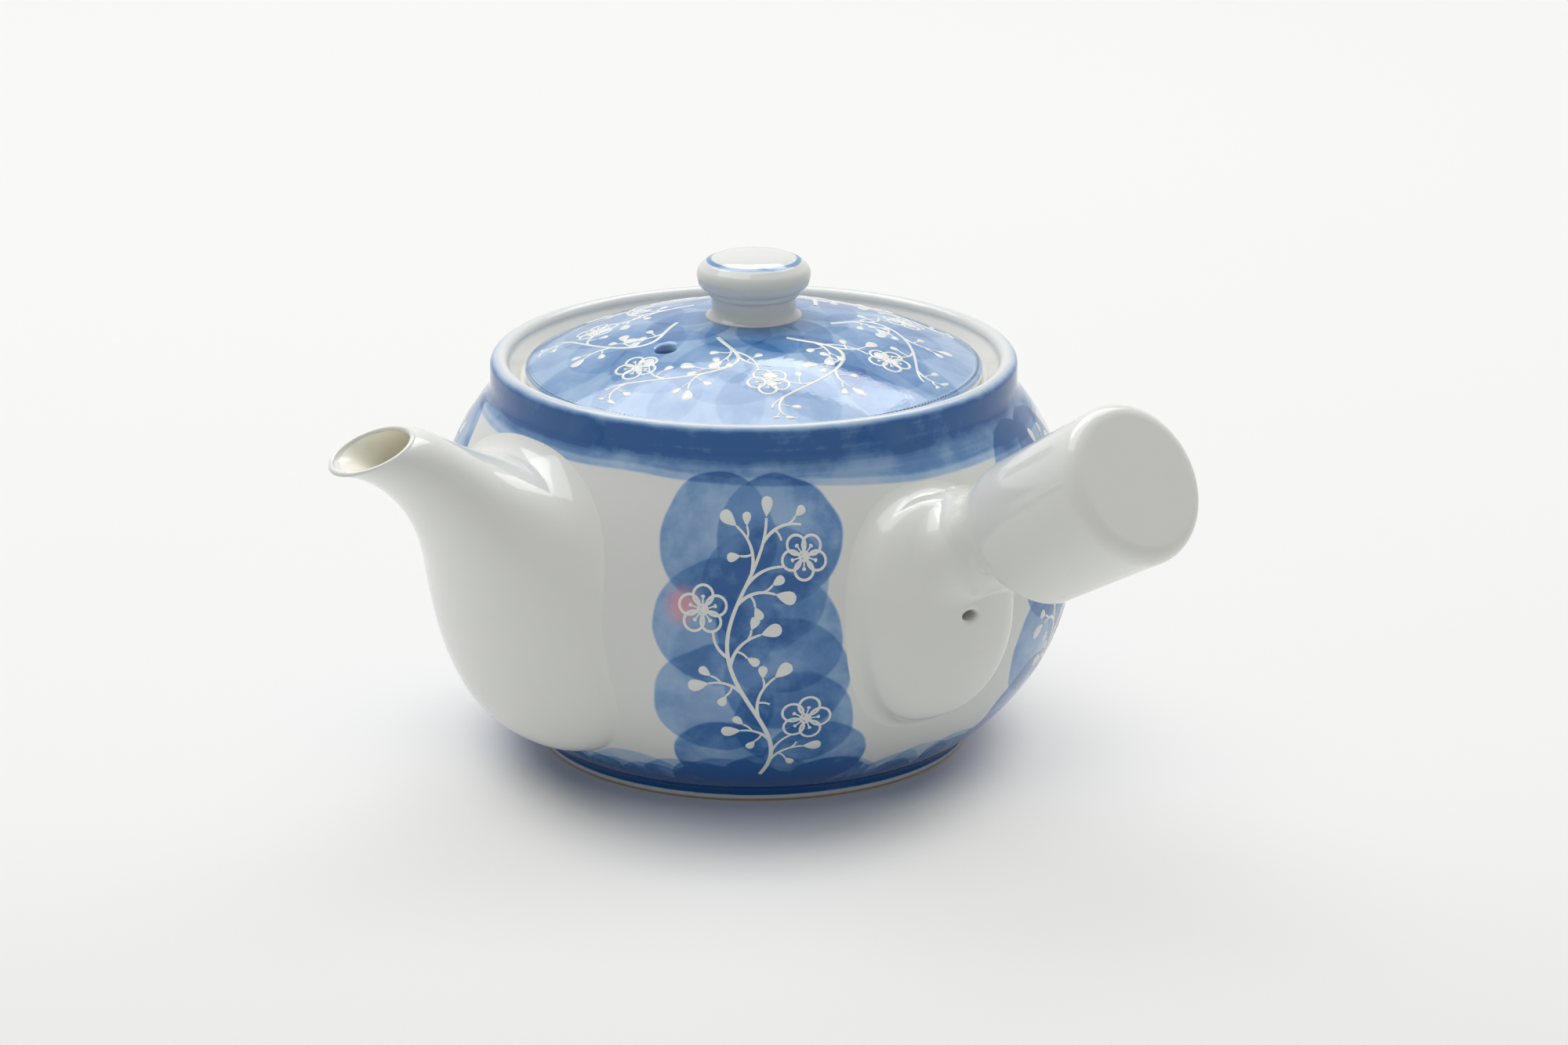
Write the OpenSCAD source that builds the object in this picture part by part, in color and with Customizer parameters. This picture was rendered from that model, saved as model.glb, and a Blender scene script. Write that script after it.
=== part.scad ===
// Side-handled porcelain teapot with a sunk lid, a hollow handle and a push-in strainer.
// Millimetres, +Z up. The origin is the centre of the foot ring on the table.
// The spout points along -X and the handle stands a little over a right angle from it, close to -Y.

/* [Bowl] */
// Greatest outer radius of the bowl
belly_r = 60; // [54:0.5:66]
// Height of the greatest radius above the table
belly_z = 37.8; // [34:0.1:42]
// Radius of the shoulder arc above the belly
upper_arc = 45.6; // [43:0.1:50]
// Radius of the arc below the belly
lower_arc = 42; // [40:0.1:46]
// Wall thickness of the bowl
wall = 3.4; // [2.6:0.1:4.4]
// Outer radius of the foot ring
foot_r = 40.4; // [36:0.1:44]
// Width of the foot ring's resting face
foot_w = 3.8; // [2.5:0.1:6]
// Depth of the recess under the floor
foot_h = 2.8; // [1.5:0.1:4]
// Thickness of the floor
floor_t = 3.2; // [2.4:0.1:5]

/* [Collar] */
// Outer radius of the collar
collar_r = 49; // [46:0.1:51]
// Height of the lip's crest above the table
rim_z = 74; // [72:0.1:78]
// Thickness of the rounded lip
lip_t = 3.4; // [2.6:0.1:4.2]
// How far the collar's inner wall leans in down to the ledge
seat_lean = 2.3; // [1:0.1:3]
// Depth of the lid ledge below the crest
seat_depth = 4.4; // [3.6:0.1:5.6]
// Radius of the throat inside the ledge
throat_r = 38; // [34:0.1:40]
// Thickness of the ledge at the throat
ledge_t = 3.2; // [2.4:0.1:4.5]
// Radius of the hollow curve between shoulder and collar
collar_curve = 5; // [3:0.1:6]

/* [Lid] */
// Height of the gap between ledge and lid
lid_gap = 0.3; // [0.2:0.05:0.6]
// Clearance round the lid's edge
lid_clear = 0.8; // [0.5:0.1:1.5]
// Thickness of the lid's edge
lid_edge = 1.8; // [1.4:0.1:3]
// Rise of the dome from edge to centre
lid_rise = 9.8; // [7:0.1:13]
// Thickness of the dome
lid_t = 3.4; // [2.6:0.1:4.2]
// Clearance between the locating flange and the throat
flange_clear = 0.8; // [0.5:0.1:1.5]
// Thickness of the locating flange
flange_t = 2.8; // [2:0.1:4]
// Depth of the locating flange below the lid's edge
flange_h = 5; // [3:0.1:8]
// Radius of the steam hole
steam_r = 1.8; // [1:0.1:2.5]
// Distance of the steam hole from the lid's centre
steam_at = 22.1; // [18:0.1:28]
// Bearing of the steam hole, in degrees from +X
steam_turn = 186; // [0:1:359]

/* [Knob] */
// Greatest radius of the knob's head
knob_r = 10.5; // [9:0.1:12.5]
// Radius of the knob's neck
knob_neck_r = 7.9; // [6.5:0.1:8.6]
// Radius of the flared foot of the neck
knob_foot_r = 8.9; // [8.7:0.1:10.5]
// Height of the knob above the dome
knob_h = 11.7; // [10:0.1:15]
// Radius of the head's rounded edge
knob_edge = 3.4; // [2.6:0.1:4]
// Radius of the head's slightly domed top
knob_crown = 44; // [36:1:60]
// How far the bead under the head stands out from the neck
knob_bead = 0.6; // [0.3:0.1:1]
// Height of that bead
knob_bead_h = 1.4; // [1:0.1:2]
// Height of the flared foot
knob_flare = 1.1; // [0.8:0.1:1.4]
// Radius of the tenon that keys the knob into the lid
tenon_r = 4; // [3:0.1:5]
// Length of that tenon
tenon_h = 1.8; // [1:0.1:2.2]

/* [Spout] */
// Reach of the pouring lip beyond the belly
spout_reach = 32.9; // [28:0.1:40]
// Height of the pouring lip
spout_lip_z = 67.9; // [64:0.1:70]
// Length of the mouth from lip to heel
mouth_len = 16.9; // [14:0.1:20]
// Slope of the mouth, in degrees below level towards the lip
mouth_slope = 19.7; // [10:0.1:30]
// Half width of the mouth
mouth_w = 7.2; // [6:0.1:9]
// Half width of the spout where it enters the bowl
spout_root_w = 34.4; // [30:0.1:38]
// Height of the spout's lower root inside the bowl
spout_low_z = 9; // [8:0.1:13]
// Height of the spout's upper root inside the bowl
spout_high_z = 61.3; // [58:0.1:63]
// Depth of the spout's root inside the belly
spout_sink = 16; // [15:0.1:17]
// How far the lower contour swings out beyond the belly near the foot
spout_keel = 3.9; // [3:0.1:5]
// How far the lower contour stands beyond the belly where it turns up
spout_bend = 2.8; // [2:0.1:4]
// How far the upper contour stands beyond the belly at its brow
spout_brow = 4.1; // [3:0.1:5]
// Drop of the lower contour below its root
spout_drop = 8.5; // [7:0.1:9.5]
// Height where the lower contour turns up
spout_bend_z = 43; // [40:0.1:46]
// Rise of the upper contour above its root, at the belly
spout_rise = 2.4; // [1.5:0.1:3.5]
// Rise of the upper contour above its root, at its brow
spout_brow_rise = 4.9; // [4:0.1:6]
// How far back from the lip the last curve of the lower contour begins
lip_lead = 20; // [17:0.1:23]
// How far below the lip that curve begins
lip_fall = 6.4; // [5:0.1:8]
// How far back from the heel the last curve of the upper contour begins
heel_lead = 5.8; // [4.5:0.1:7]
// How far below the heel that curve begins
heel_fall = 1.3; // [0.8:0.1:2]
// Half width that pulls the spout's flanks in from the root
spout_waist = 23.6; // [21:0.1:26]
// Half width that shapes the middle of the spout
spout_throat = 11.7; // [10:0.1:13]
// Half width that shapes the spout just below its mouth
spout_neck = 8.1; // [7:0.1:9]
// Wall thickness of the spout
spout_wall = 3; // [2.2:0.1:3.6]
// Thickness of the mouth's edge
mouth_edge = 1.7; // [1.2:0.1:2.4]

/* [Handle] */
// Bearing of the handle from the spout, in degrees
handle_turn = 94; // [80:0.5:100]
// Slope of the handle above level, in degrees
handle_slope = 30.65; // [20:0.05:36]
// Distance from the belly out to the point where the handle's axis is set out
handle_stand = 4; // [2:0.1:6]
// Height of that point above the belly
handle_up = 12.8; // [10:0.1:15]
// Length of the handle from that point to its end
handle_len = 42.9; // [36:0.1:60]
// Radius of the neck
neck_r = 9.3; // [8:0.1:10.5]
// Distance from that point to the shoulder of the tube
neck_len = 9.5; // [8:0.1:13]
// Length of the neck set back into the pad
neck_root = 6; // [5:0.1:7]
// Radius of the tube at its shoulder
handle_root_r = 13.3; // [12:0.1:14]
// Radius of the tube at its end
handle_end_r = 14.45; // [13:0.05:16]
// Rounding of the tube's shoulder
handle_root_edge = 2.6; // [1.5:0.1:3.2]
// Rounding of the tube's end
handle_end_edge = 3; // [2:0.1:4.5]
// Wall thickness of the handle
handle_wall = 2.8; // [2.2:0.1:3.4]

/* [Boss] */
// Half width of the oval pad, along the bowl
boss_w = 17.2; // [15:0.1:20]
// Half height of the oval pad, along the bowl
boss_h = 22.4; // [19:0.1:24]
// Distance of the pad's middle above the belly, along the bowl
boss_up = 2.6; // [0:0.1:5]
// How far the pad stands proud of the bowl
boss_raise = 6; // [5:0.1:8]
// Wall thickness of the pad
boss_wall = 2.8; // [2.2:0.1:3.4]
// Angle of the pad's middle from the handle towards the spout, in degrees
boss_turn = 6.7; // [0:0.1:9]
// Radius of the vent hole
vent_r = 1.3; // [0.8:0.1:1.8]
// Height of the vent hole above the belly
vent_up = 3.2; // [1:0.1:4]
// Angle of the vent hole from the handle towards the spout, in degrees
vent_turn = 4.5; // [0:0.1:8]

/* [Strainer] */
// Height of the strainer hole's centre above the belly
hole_up = 6.2; // [5.8:0.1:6.8]
// Radius of the hole in the bowl's wall
hole_r = 12; // [11:0.1:12.4]
// Radius of the flat land round the hole
land_r = 16; // [15:0.1:16.5]
// Depth of the flat land inside the belly
land_in = 9.5; // [8.5:0.1:11]
// Clearance between gasket and hole, and between gasket and land
gasket_clear = 0.3; // [0.2:0.05:0.5]
// Thickness of the gasket's sleeve
gasket_t = 1.6; // [1.2:0.1:2]
// Thickness of the gasket's flange
gasket_flange = 1.3; // [1:0.1:2]
// Length of the gasket's sleeve in the hole
sleeve_len = 5; // [3.5:0.1:5.5]
// Wall thickness of the steel rim
rim_t = 0.8; // [0.6:0.1:1.2]
// Width of the steel rim's flange
rim_flange = 1.8; // [1:0.1:2.6]
// Rise of the pierced dome
mesh_rise = 6; // [5:0.1:7]
// Length of the skirt that holds the dome in the rim
mesh_skirt = 2.4; // [1.8:0.1:3]
// Thickness of the pierced dome
mesh_t = 0.5; // [0.4:0.1:0.8]
// Radius of the holes in the dome
mesh_hole_r = 0.75; // [0.5:0.05:0.9]
// Spacing of the rings of holes, in degrees of the dome
mesh_step = 14; // [12:0.5:14.5]
// Number of rings of holes round the centre hole
mesh_rings = 4; // [2:1:4]

/* [Hidden] */
$fn = 120;
porcelain = [0.94, 0.945, 0.935];
wash_blue = [0.42, 0.55, 0.73];
steel = [0.74, 0.75, 0.76];
silicone = [0.88, 0.88, 0.85];
upper_c = belly_r - upper_arc;
lower_c = belly_r - lower_arc;
upper_mid = [upper_c, belly_z];
shoulder_z = belly_z + sqrt(pow(upper_arc, 2) - pow(collar_r - upper_c, 2));
curve_r = collar_r + collar_curve;
curve_mid = [curve_r, belly_z + sqrt(pow(upper_arc + collar_curve, 2) - pow(curve_r - upper_c, 2))];
floor_z = foot_h + floor_t;
seat_z = rim_z - seat_depth;
seat_r = collar_r - lip_t - seat_lean;
ledge_foot = seat_z - 2.72 * ledge_t;
lid_r = seat_r - lid_clear;
lid_bottom = seat_z + lid_gap;
dome_r = (pow(lid_r, 2) + pow(lid_rise, 2)) / (2 * lid_rise);
dome_top = lid_bottom + lid_edge + lid_rise;
dome_c = dome_top - dome_r;
flange_out = throat_r - flange_clear;
flange_in = flange_out - flange_t;
crown_sag = knob_crown - sqrt(pow(knob_crown, 2) - pow(knob_r - knob_edge, 2));
head_z = dome_top + knob_h - crown_sag - knob_edge;
handle_dir = 180 + handle_turn;
handle_out = belly_r + handle_stand;
handle_z = belly_z + handle_up;
vent_z = belly_z + vent_up;
boss_dir = handle_dir - boss_turn;
vent_dir = handle_dir - vent_turn;
sleeve_r = hole_r - gasket_clear;
rim_r = sleeve_r - gasket_t;
hole_z = belly_z + hole_up;
land_x = belly_r - land_in;
land_back = belly_r - 1.6 * wall;
land_face = -land_x + gasket_clear;
mesh_r = rim_r - rim_t;
mesh_ball = (pow(mesh_r, 2) + pow(mesh_rise, 2)) / (2 * mesh_rise);

// Outer contours of the spout in its own upright plane: distance from the axis and height
mouth_run = [cos(mouth_slope), -sin(mouth_slope)];
lip_point = [belly_r + spout_reach, spout_lip_z];
heel_point = lip_point - mouth_len * mouth_run;
spout_under = [
    [belly_r - spout_sink, spout_low_z],
    [belly_r + spout_keel, spout_low_z - spout_drop],
    [belly_r + spout_bend, spout_bend_z],
    lip_point - [lip_lead, lip_fall],
    lip_point];
spout_over = [
    [belly_r - spout_sink, spout_high_z],
    [belly_r - spout_rise / 4, spout_high_z + spout_rise],
    [belly_r + spout_brow, spout_high_z + spout_brow_rise],
    heel_point - [heel_lead, heel_fall],
    heel_point];
spout_half = [spout_root_w, spout_waist, spout_throat, spout_neck, mouth_w];
// Inner contours: the outer ones moved in by shares of the wall, thinning to the mouth's edge
under_shares = [[0, 1.2], [-1, 1.5], [-1.25, 0.6], [-0.9, 0.75], [0, 0]];
over_shares = [[0, -1.2], [0, -1.1], [0.35, -1], [0.3, -0.8], [0, 0]];
half_shares = [1.1, 1.1, 0.95, 0.6, 0];
mouth_step = [for (k = [0:4]) (k == 4 ? mouth_edge : 0) * mouth_run];
spout_in_under = spout_under + spout_wall * under_shares - mouth_step;
spout_in_over = spout_over + spout_wall * over_shares + mouth_step;
spout_in_half = spout_half - spout_wall * half_shares - [0, 0, 0, 0, mouth_edge * 0.65];

// A point of a fourth-degree curve with five controls
function curve(p, t) =
    let (s = 1 - t)
    pow(s, 4) * p[0] + 4 * pow(s, 3) * t * p[1] + 6 * pow(s * t, 2) * p[2]
    + 4 * s * pow(t, 3) * p[3] + pow(t, 4) * p[4];

// An oval cross section of the spout at t, between its under and over contours
function oval(under, over, half, t, n) =
    let (a = curve(under, t), b = curve(over, t), w = curve(half, t), c = (a + b) / 2, d = (b - a) / 2)
    [for (k = [0:n - 1]) let (q = 360 * k / n) [-(c[0] + d[0] * cos(q)), w * sin(q), c[1] + d[1] * cos(q)]];

// Triangles between two neighbouring rings of n points that start at i and j
function band(i, j, n) = [
    for (k = [0:n - 1])
        let (l = (k + 1) % n)
        each [[i + k, j + l, i + l], [i + k, j + k, j + l]]];

// A closed skin through rings of n points each, with the last ring joined to the first
module ring_skin(rings) {
    n = len(rings[0]);
    m = len(rings);
    polyhedron(
        points = [for (r = rings) each r],
        faces = [for (i = [0:m - 1]) each band(i * n, ((i + 1) % m) * n, n)],
        convexity = 8);
}

// Half profile of the solid bowl and collar, without the hollow
module bowl_profile() {
    intersection() {
        union() {
            translate([lower_c, belly_z]) circle(lower_arc);
            translate([0, belly_z - lower_arc]) square([lower_c, 2 * lower_arc]);
        }
        translate([0, foot_h / 2]) square([belly_r + 1, belly_z - foot_h / 2]);
    }
    intersection() {
        union() {
            translate([upper_c, belly_z]) circle(upper_arc);
            translate([0, belly_z - upper_arc]) square([upper_c, 2 * upper_arc]);
        }
        translate([0, belly_z]) square([belly_r + 1, shoulder_z - belly_z]);
    }
    translate([0, shoulder_z - wall]) square([collar_r, rim_z - lip_t / 2 - shoulder_z + wall]);
    difference() {
        polygon([
            [collar_r - wall, curve_mid[1]],
            curve_mid,
            upper_mid + (upper_arc - 0.2) / (upper_arc + collar_curve) * (curve_mid - upper_mid),
            [collar_r - wall, shoulder_z - wall]]);
        translate(curve_mid) circle(collar_curve - 0.03);
    }
    translate([collar_r - lip_t / 2, rim_z - lip_t / 2]) circle(lip_t / 2);
    translate([foot_r - foot_w, 0]) square([foot_w, foot_h + floor_t / 2]);
}

// Half profile of the hollow: bowl, throat and the recess that takes the lid
module hollow_profile() {
    intersection() {
        union() {
            translate([lower_c, belly_z]) circle(lower_arc - wall);
            translate([-1, belly_z - lower_arc]) square([lower_c + 1, 2 * lower_arc]);
        }
        translate([-1, floor_z]) square([belly_r + 1, belly_z - floor_z]);
    }
    difference() {
        intersection() {
            union() {
                translate([upper_c, belly_z]) circle(upper_arc - wall);
                translate([-1, belly_z - upper_arc]) square([upper_c + 1, 2 * upper_arc]);
            }
            translate([-1, belly_z]) square([belly_r + 1, seat_z - belly_z]);
        }
        polygon([
            [throat_r, seat_z + 1],
            [throat_r, seat_z - ledge_t],
            [seat_r + 1.25 * ledge_t, ledge_foot],
            [belly_r + wall, ledge_foot],
            [belly_r + wall, seat_z + 1]]);
    }
    translate([-1, seat_z - 3 * ledge_t]) square([throat_r + 1, 3.5 * ledge_t]);
    polygon([
        [-1, seat_z],
        [seat_r, seat_z],
        [collar_r - lip_t, rim_z - lip_t / 2],
        [collar_r - lip_t, rim_z + 1],
        [-1, rim_z + 1]]);
    translate([-1, -1]) square([foot_r - foot_w + 1, foot_h + 1]);
}

// The bowl as a solid of revolution, used to fit the luted pieces to its outside
module bowl_solid() {
    rotate_extrude() bowl_profile();
}

module pot_body() {
    color(porcelain) difference() {
        union() {
            rotate_extrude() difference() {
                bowl_profile();
                hollow_profile();
            }
            translate([-land_back, 0, hole_z])
                rotate([0, 90, 0]) cylinder(r = land_r, h = land_back - land_x);
        }
        translate([-belly_r - wall, 0, hole_z])
            rotate([0, 90, 0]) cylinder(r = hole_r, h = belly_r + 2 * wall - land_x);
    }
}

module spout() {
    n = 40;
    m = 26;
    color(porcelain) difference() {
        ring_skin(concat(
            [for (i = [0:m]) oval(spout_under, spout_over, spout_half, i / m, n)],
            [for (i = [m:-1:0]) oval(spout_in_under, spout_in_over, spout_in_half, i / m, n)]));
        bowl_solid();
    }
}

// A point over the bowl: a along its girth and b along its profile from the belly, raised by h
function over_bowl(a, b, h) =
    let (
        arc = b >= 0 ? upper_arc : lower_arc,
        q = b / arc * 180 / PI,
        r = belly_r - arc + (arc + h) * cos(q),
        g = boss_dir + a / (belly_r + 1) * 180 / PI)
    [r * cos(g), r * sin(g), belly_z + (arc + h) * sin(q)];

// A power that keeps the sign, for the pad's full oval outline
function signed_power(x, e) = sign(x) * pow(abs(x), e);

// A ring of the pad: the oval outline shrunk to the share s, raised by h
function pad_ring(w, l, s, h, n) = [
    for (k = [0:n - 1])
        let (q = 360 * k / n)
        over_bowl(s * w * signed_power(cos(q), 0.85), boss_up + s * l * signed_power(sin(q), 0.85), h)];

// Rings of a cushion from near its crown down to its edge and a little into the bowl
function pad_rings(w, l, h, n, m) = concat(
    [for (i = [0:m]) let (q = 4 + 80 * i / m) pad_ring(w, l, pow(sin(q), 0.8), h * pow(abs(cos(q)), 0.8), n)],
    [pad_ring(w, l, 1, -0.9 * boss_wall, n)]);

// A hollow cushion, open towards the bowl: outer rings going down, inner rings coming back up,
// and a point at each crown
module pad_shell(n, m) {
    outer = pad_rings(boss_w, boss_h, boss_raise, n, m);
    inner = pad_rings(boss_w - boss_wall, boss_h - boss_wall, boss_raise - boss_wall, n, m);
    rings = concat(outer, [for (i = [m + 1:-1:0]) inner[i]]);
    c = len(rings) * n;
    last = c - n;
    polyhedron(
        points = concat(
            [for (r = rings) each r],
            [for (h = [boss_raise, boss_raise - boss_wall]) over_bowl(0, boss_up, h)]),
        faces = concat(
            [for (i = [0:len(rings) - 2]) each band((i + 1) * n, i * n, n)],
            [for (k = [0:n - 1]) [(k + 1) % n, k, c]],
            [for (k = [0:n - 1]) [last + k, last + (k + 1) % n, c + 1]]),
        convexity = 8);
}

module handle_place() {
    translate([handle_out * cos(handle_dir), handle_out * sin(handle_dir), handle_z])
        rotate([0, 90 - handle_slope, handle_dir]) children();
}

module handle_boss() {
    n = 40;
    color(porcelain) difference() {
        pad_shell(n, 8);
        bowl_solid();
        handle_place() translate([0, 0, -2 * neck_len]) cylinder(r = neck_r, h = 4 * neck_len);
        rotate([0, 0, vent_dir])
            translate([belly_r, 0, vent_z]) rotate([0, 90, 0]) cylinder(r = vent_r, h = 2.5 * boss_raise);
    }
}

module handle() {
    e = handle_root_edge;
    f = handle_end_edge;
    color(porcelain) difference() {
        handle_place() rotate_extrude() difference() {
            union() {
                translate([0, -neck_root]) square([neck_r, neck_len + neck_root + e]);
                translate([0, neck_len]) square([handle_root_r - e, e]);
                intersection() {
                    translate([handle_root_r - e, neck_len + e]) circle(e);
                    translate([0, neck_len]) square([handle_root_r, e]);
                }
                polygon([
                    [0, neck_len + e],
                    [handle_root_r, neck_len + e],
                    [handle_end_r, handle_len - f],
                    [0, handle_len - f]]);
                translate([0, handle_len - f]) square([handle_end_r - f, f]);
                intersection() {
                    translate([handle_end_r - f, handle_len - f]) circle(f);
                    translate([0, handle_len - f]) square([handle_end_r, f]);
                }
            }
            translate([-1, -neck_root - 1])
                square([neck_r - handle_wall + 1, neck_len + neck_root + 2 * handle_wall]);
            polygon([
                [-1, neck_len + handle_wall],
                [handle_root_r - handle_wall, neck_len + handle_wall],
                [handle_end_r - handle_wall, handle_len - handle_wall],
                [-1, handle_len - handle_wall]]);
        }
        bowl_solid();
    }
}

module lid() {
    color(wash_blue) difference() {
        rotate_extrude() difference() {
            union() {
                intersection() {
                    translate([0, dome_c]) circle(dome_r);
                    translate([0, lid_bottom]) square([lid_r, 2 * lid_rise]);
                }
                translate([flange_in, lid_bottom - flange_h]) square([flange_t, flange_h + lid_edge / 3]);
            }
            intersection() {
                translate([0, dome_c]) circle(dome_r - lid_t);
                translate([-1, lid_bottom - 2 * flange_h]) square([flange_in + 1, dome_r]);
            }
            translate([-1, dome_top - tenon_h]) square([tenon_r + 1, 2 * tenon_h]);
        }
        rotate([0, 0, steam_turn])
            translate([steam_at, 0, lid_bottom]) cylinder(r = steam_r, h = 2 * lid_rise);
    }
}

module knob() {
    color(porcelain) rotate_extrude() {
        difference() {
            union() {
                translate([0, dome_top - tenon_h]) square([knob_neck_r, head_z - dome_top + tenon_h]);
                translate([0, dome_top - tenon_h]) square([knob_foot_r, tenon_h + knob_flare]);
                translate([0, head_z - knob_edge - knob_bead_h / 2])
                    square([knob_neck_r + knob_bead, knob_bead_h]);
                translate([0, head_z - knob_edge]) square([knob_r - knob_edge, 2 * knob_edge]);
                intersection() {
                    translate([0, dome_top + knob_h - knob_crown]) circle(knob_crown);
                    translate([0, head_z]) square([knob_r - knob_edge, knob_h]);
                }
                intersection() {
                    translate([knob_r - knob_edge, head_z]) circle(knob_edge);
                    translate([0, head_z - knob_edge]) square([knob_r, 2 * knob_edge]);
                }
            }
            translate([knob_foot_r, dome_top + 1.05 * knob_flare])
                circle(min(knob_flare, knob_foot_r - knob_neck_r));
            intersection() {
                translate([0, dome_c]) circle(dome_r);
                translate([tenon_r, dome_top - knob_h]) square([knob_r, 2 * knob_h]);
            }
        }
    }
}

// Places a piece drawn about +Z so that its base lies on the strainer's seat and it points into the pot
module strainer_place() {
    translate([land_face, 0, hole_z]) rotate([0, 90, 0]) children();
}

// A plain ring
module ring(r_out, r_in, z, h) {
    translate([0, 0, z]) difference() {
        cylinder(r = r_out, h = h);
        translate([0, 0, -1]) cylinder(r = r_in, h = h + 2);
    }
}

module strainer_gasket() {
    color(silicone) strainer_place() union() {
        ring(sleeve_r, rim_r, -sleeve_len, sleeve_len + gasket_flange);
        ring(land_r - 4 * gasket_clear, rim_r, 0, gasket_flange);
    }
}

module strainer_rim() {
    color(steel) strainer_place() union() {
        ring(rim_r, mesh_r, -sleeve_len, sleeve_len + gasket_flange + 0.75 * rim_t);
        ring(rim_r + rim_flange, mesh_r, gasket_flange, 0.75 * rim_t);
    }
}

module strainer_mesh() {
    base = gasket_flange + 0.75 * rim_t;
    color(steel) strainer_place() difference() {
        union() {
            ring(mesh_r, mesh_r - mesh_t, base - mesh_skirt, mesh_skirt);
            intersection() {
                translate([0, 0, base + mesh_rise - mesh_ball]) difference() {
                    sphere(mesh_ball);
                    sphere(mesh_ball - mesh_t);
                }
                translate([0, 0, base]) cylinder(r = mesh_r, h = 2 * mesh_rise);
            }
        }
        translate([0, 0, base + mesh_rise - mesh_ball])
            for (i = [0:mesh_rings])
                for (k = [0:max(0, 6 * i - 1)])
                    rotate([0, 0, i == 0 ? 0 : 360 * k / (6 * i)]) rotate([0, mesh_step * i, 0])
                        translate([0, 0, mesh_ball - 2 * mesh_t])
                            cylinder(r = mesh_hole_r, h = 4 * mesh_t, $fn = 24);
    }
}

pot_body();
spout();
handle_boss();
handle();
lid();
knob();
strainer_gasket();
strainer_rim();
strainer_mesh();
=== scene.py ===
import math

import bmesh
import bpy
import numpy as np
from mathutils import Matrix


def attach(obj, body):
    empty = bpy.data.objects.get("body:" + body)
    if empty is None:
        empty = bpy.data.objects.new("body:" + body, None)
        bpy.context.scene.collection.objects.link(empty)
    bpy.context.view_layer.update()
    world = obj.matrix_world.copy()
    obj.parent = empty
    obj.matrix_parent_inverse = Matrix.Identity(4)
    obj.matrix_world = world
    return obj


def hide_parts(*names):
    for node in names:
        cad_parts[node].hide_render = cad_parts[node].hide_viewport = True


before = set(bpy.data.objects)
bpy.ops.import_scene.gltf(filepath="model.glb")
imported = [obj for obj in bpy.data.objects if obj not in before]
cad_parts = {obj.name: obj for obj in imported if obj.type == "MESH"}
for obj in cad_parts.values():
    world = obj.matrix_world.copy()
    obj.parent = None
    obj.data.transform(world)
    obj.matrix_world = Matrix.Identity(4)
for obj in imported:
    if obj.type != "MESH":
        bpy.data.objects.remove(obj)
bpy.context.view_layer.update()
mm = 0.001


# faces of a grid of points: rows run along the profile, columns run round
def gridFaces(rows, cols, closeRows, closeCols, first=0):
    i = np.arange(rows if closeRows else rows - 1)[:, None]
    j = np.arange(cols if closeCols else cols - 1)[None, :]
    a, b = i * cols + j, i * cols + (j + 1) % cols
    c, d = ((i + 1) % rows) * cols + (j + 1) % cols, ((i + 1) % rows) * cols + j
    return np.stack([a, b, c, d], -1).reshape(-1, 4) + first


# corner values of each face, with the last column and row counted on instead of wrapped
def gridCorners(values, rows, cols, closeRows, closeCols):
    i = np.arange(rows if closeRows else rows - 1)[:, None]
    j = np.arange(cols if closeCols else cols - 1)[None, :]
    pick = [values[i + di, j + dj] for di, dj in ((0, 0), (0, 1), (1, 1), (1, 0))]
    return np.stack(pick, 2).reshape(-1, 2)


# points in millimetres to a smooth mesh with its poles and seams closed and its faces outwards
def newPiece(name, verts, faces, uv=None):
    mesh = bpy.data.meshes.new(name)
    mesh.from_pydata((np.asarray(verts, float) * mm).tolist(), [], np.asarray(faces).tolist())
    if uv is not None:
        layer = mesh.uv_layers.new(name="paint")
        layer.data.foreach_set("uv", np.asarray(uv, np.float32).ravel())
    bm = bmesh.new()
    bm.from_mesh(mesh)
    bmesh.ops.remove_doubles(bm, verts=bm.verts, dist=1e-7)
    bmesh.ops.dissolve_degenerate(bm, edges=bm.edges, dist=1e-8)
    if bm.calc_volume(signed=True) < 0:
        bmesh.ops.reverse_faces(bm, faces=bm.faces)
    bm.to_mesh(mesh)
    bm.free()
    mesh.polygons.foreach_set("use_smooth", np.ones(len(mesh.polygons), bool))
    piece = bpy.data.objects.new(name, mesh)
    bpy.context.scene.collection.objects.link(piece)
    return piece


# a grid of points, row by row, to a piece
def gridPiece(name, points, closeRows=False, closeCols=True, uv=None):
    rows, cols = points.shape[:2]
    corners = None if uv is None else gridCorners(uv, rows, cols, closeRows, closeCols)
    return newPiece(name, points.reshape(-1, 3), gridFaces(rows, cols, closeRows, closeCols), corners)


# even angles once round, with the last one short of the first
def allRound(cols):
    return np.linspace(0, 2 * np.pi, cols, endpoint=False)


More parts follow.
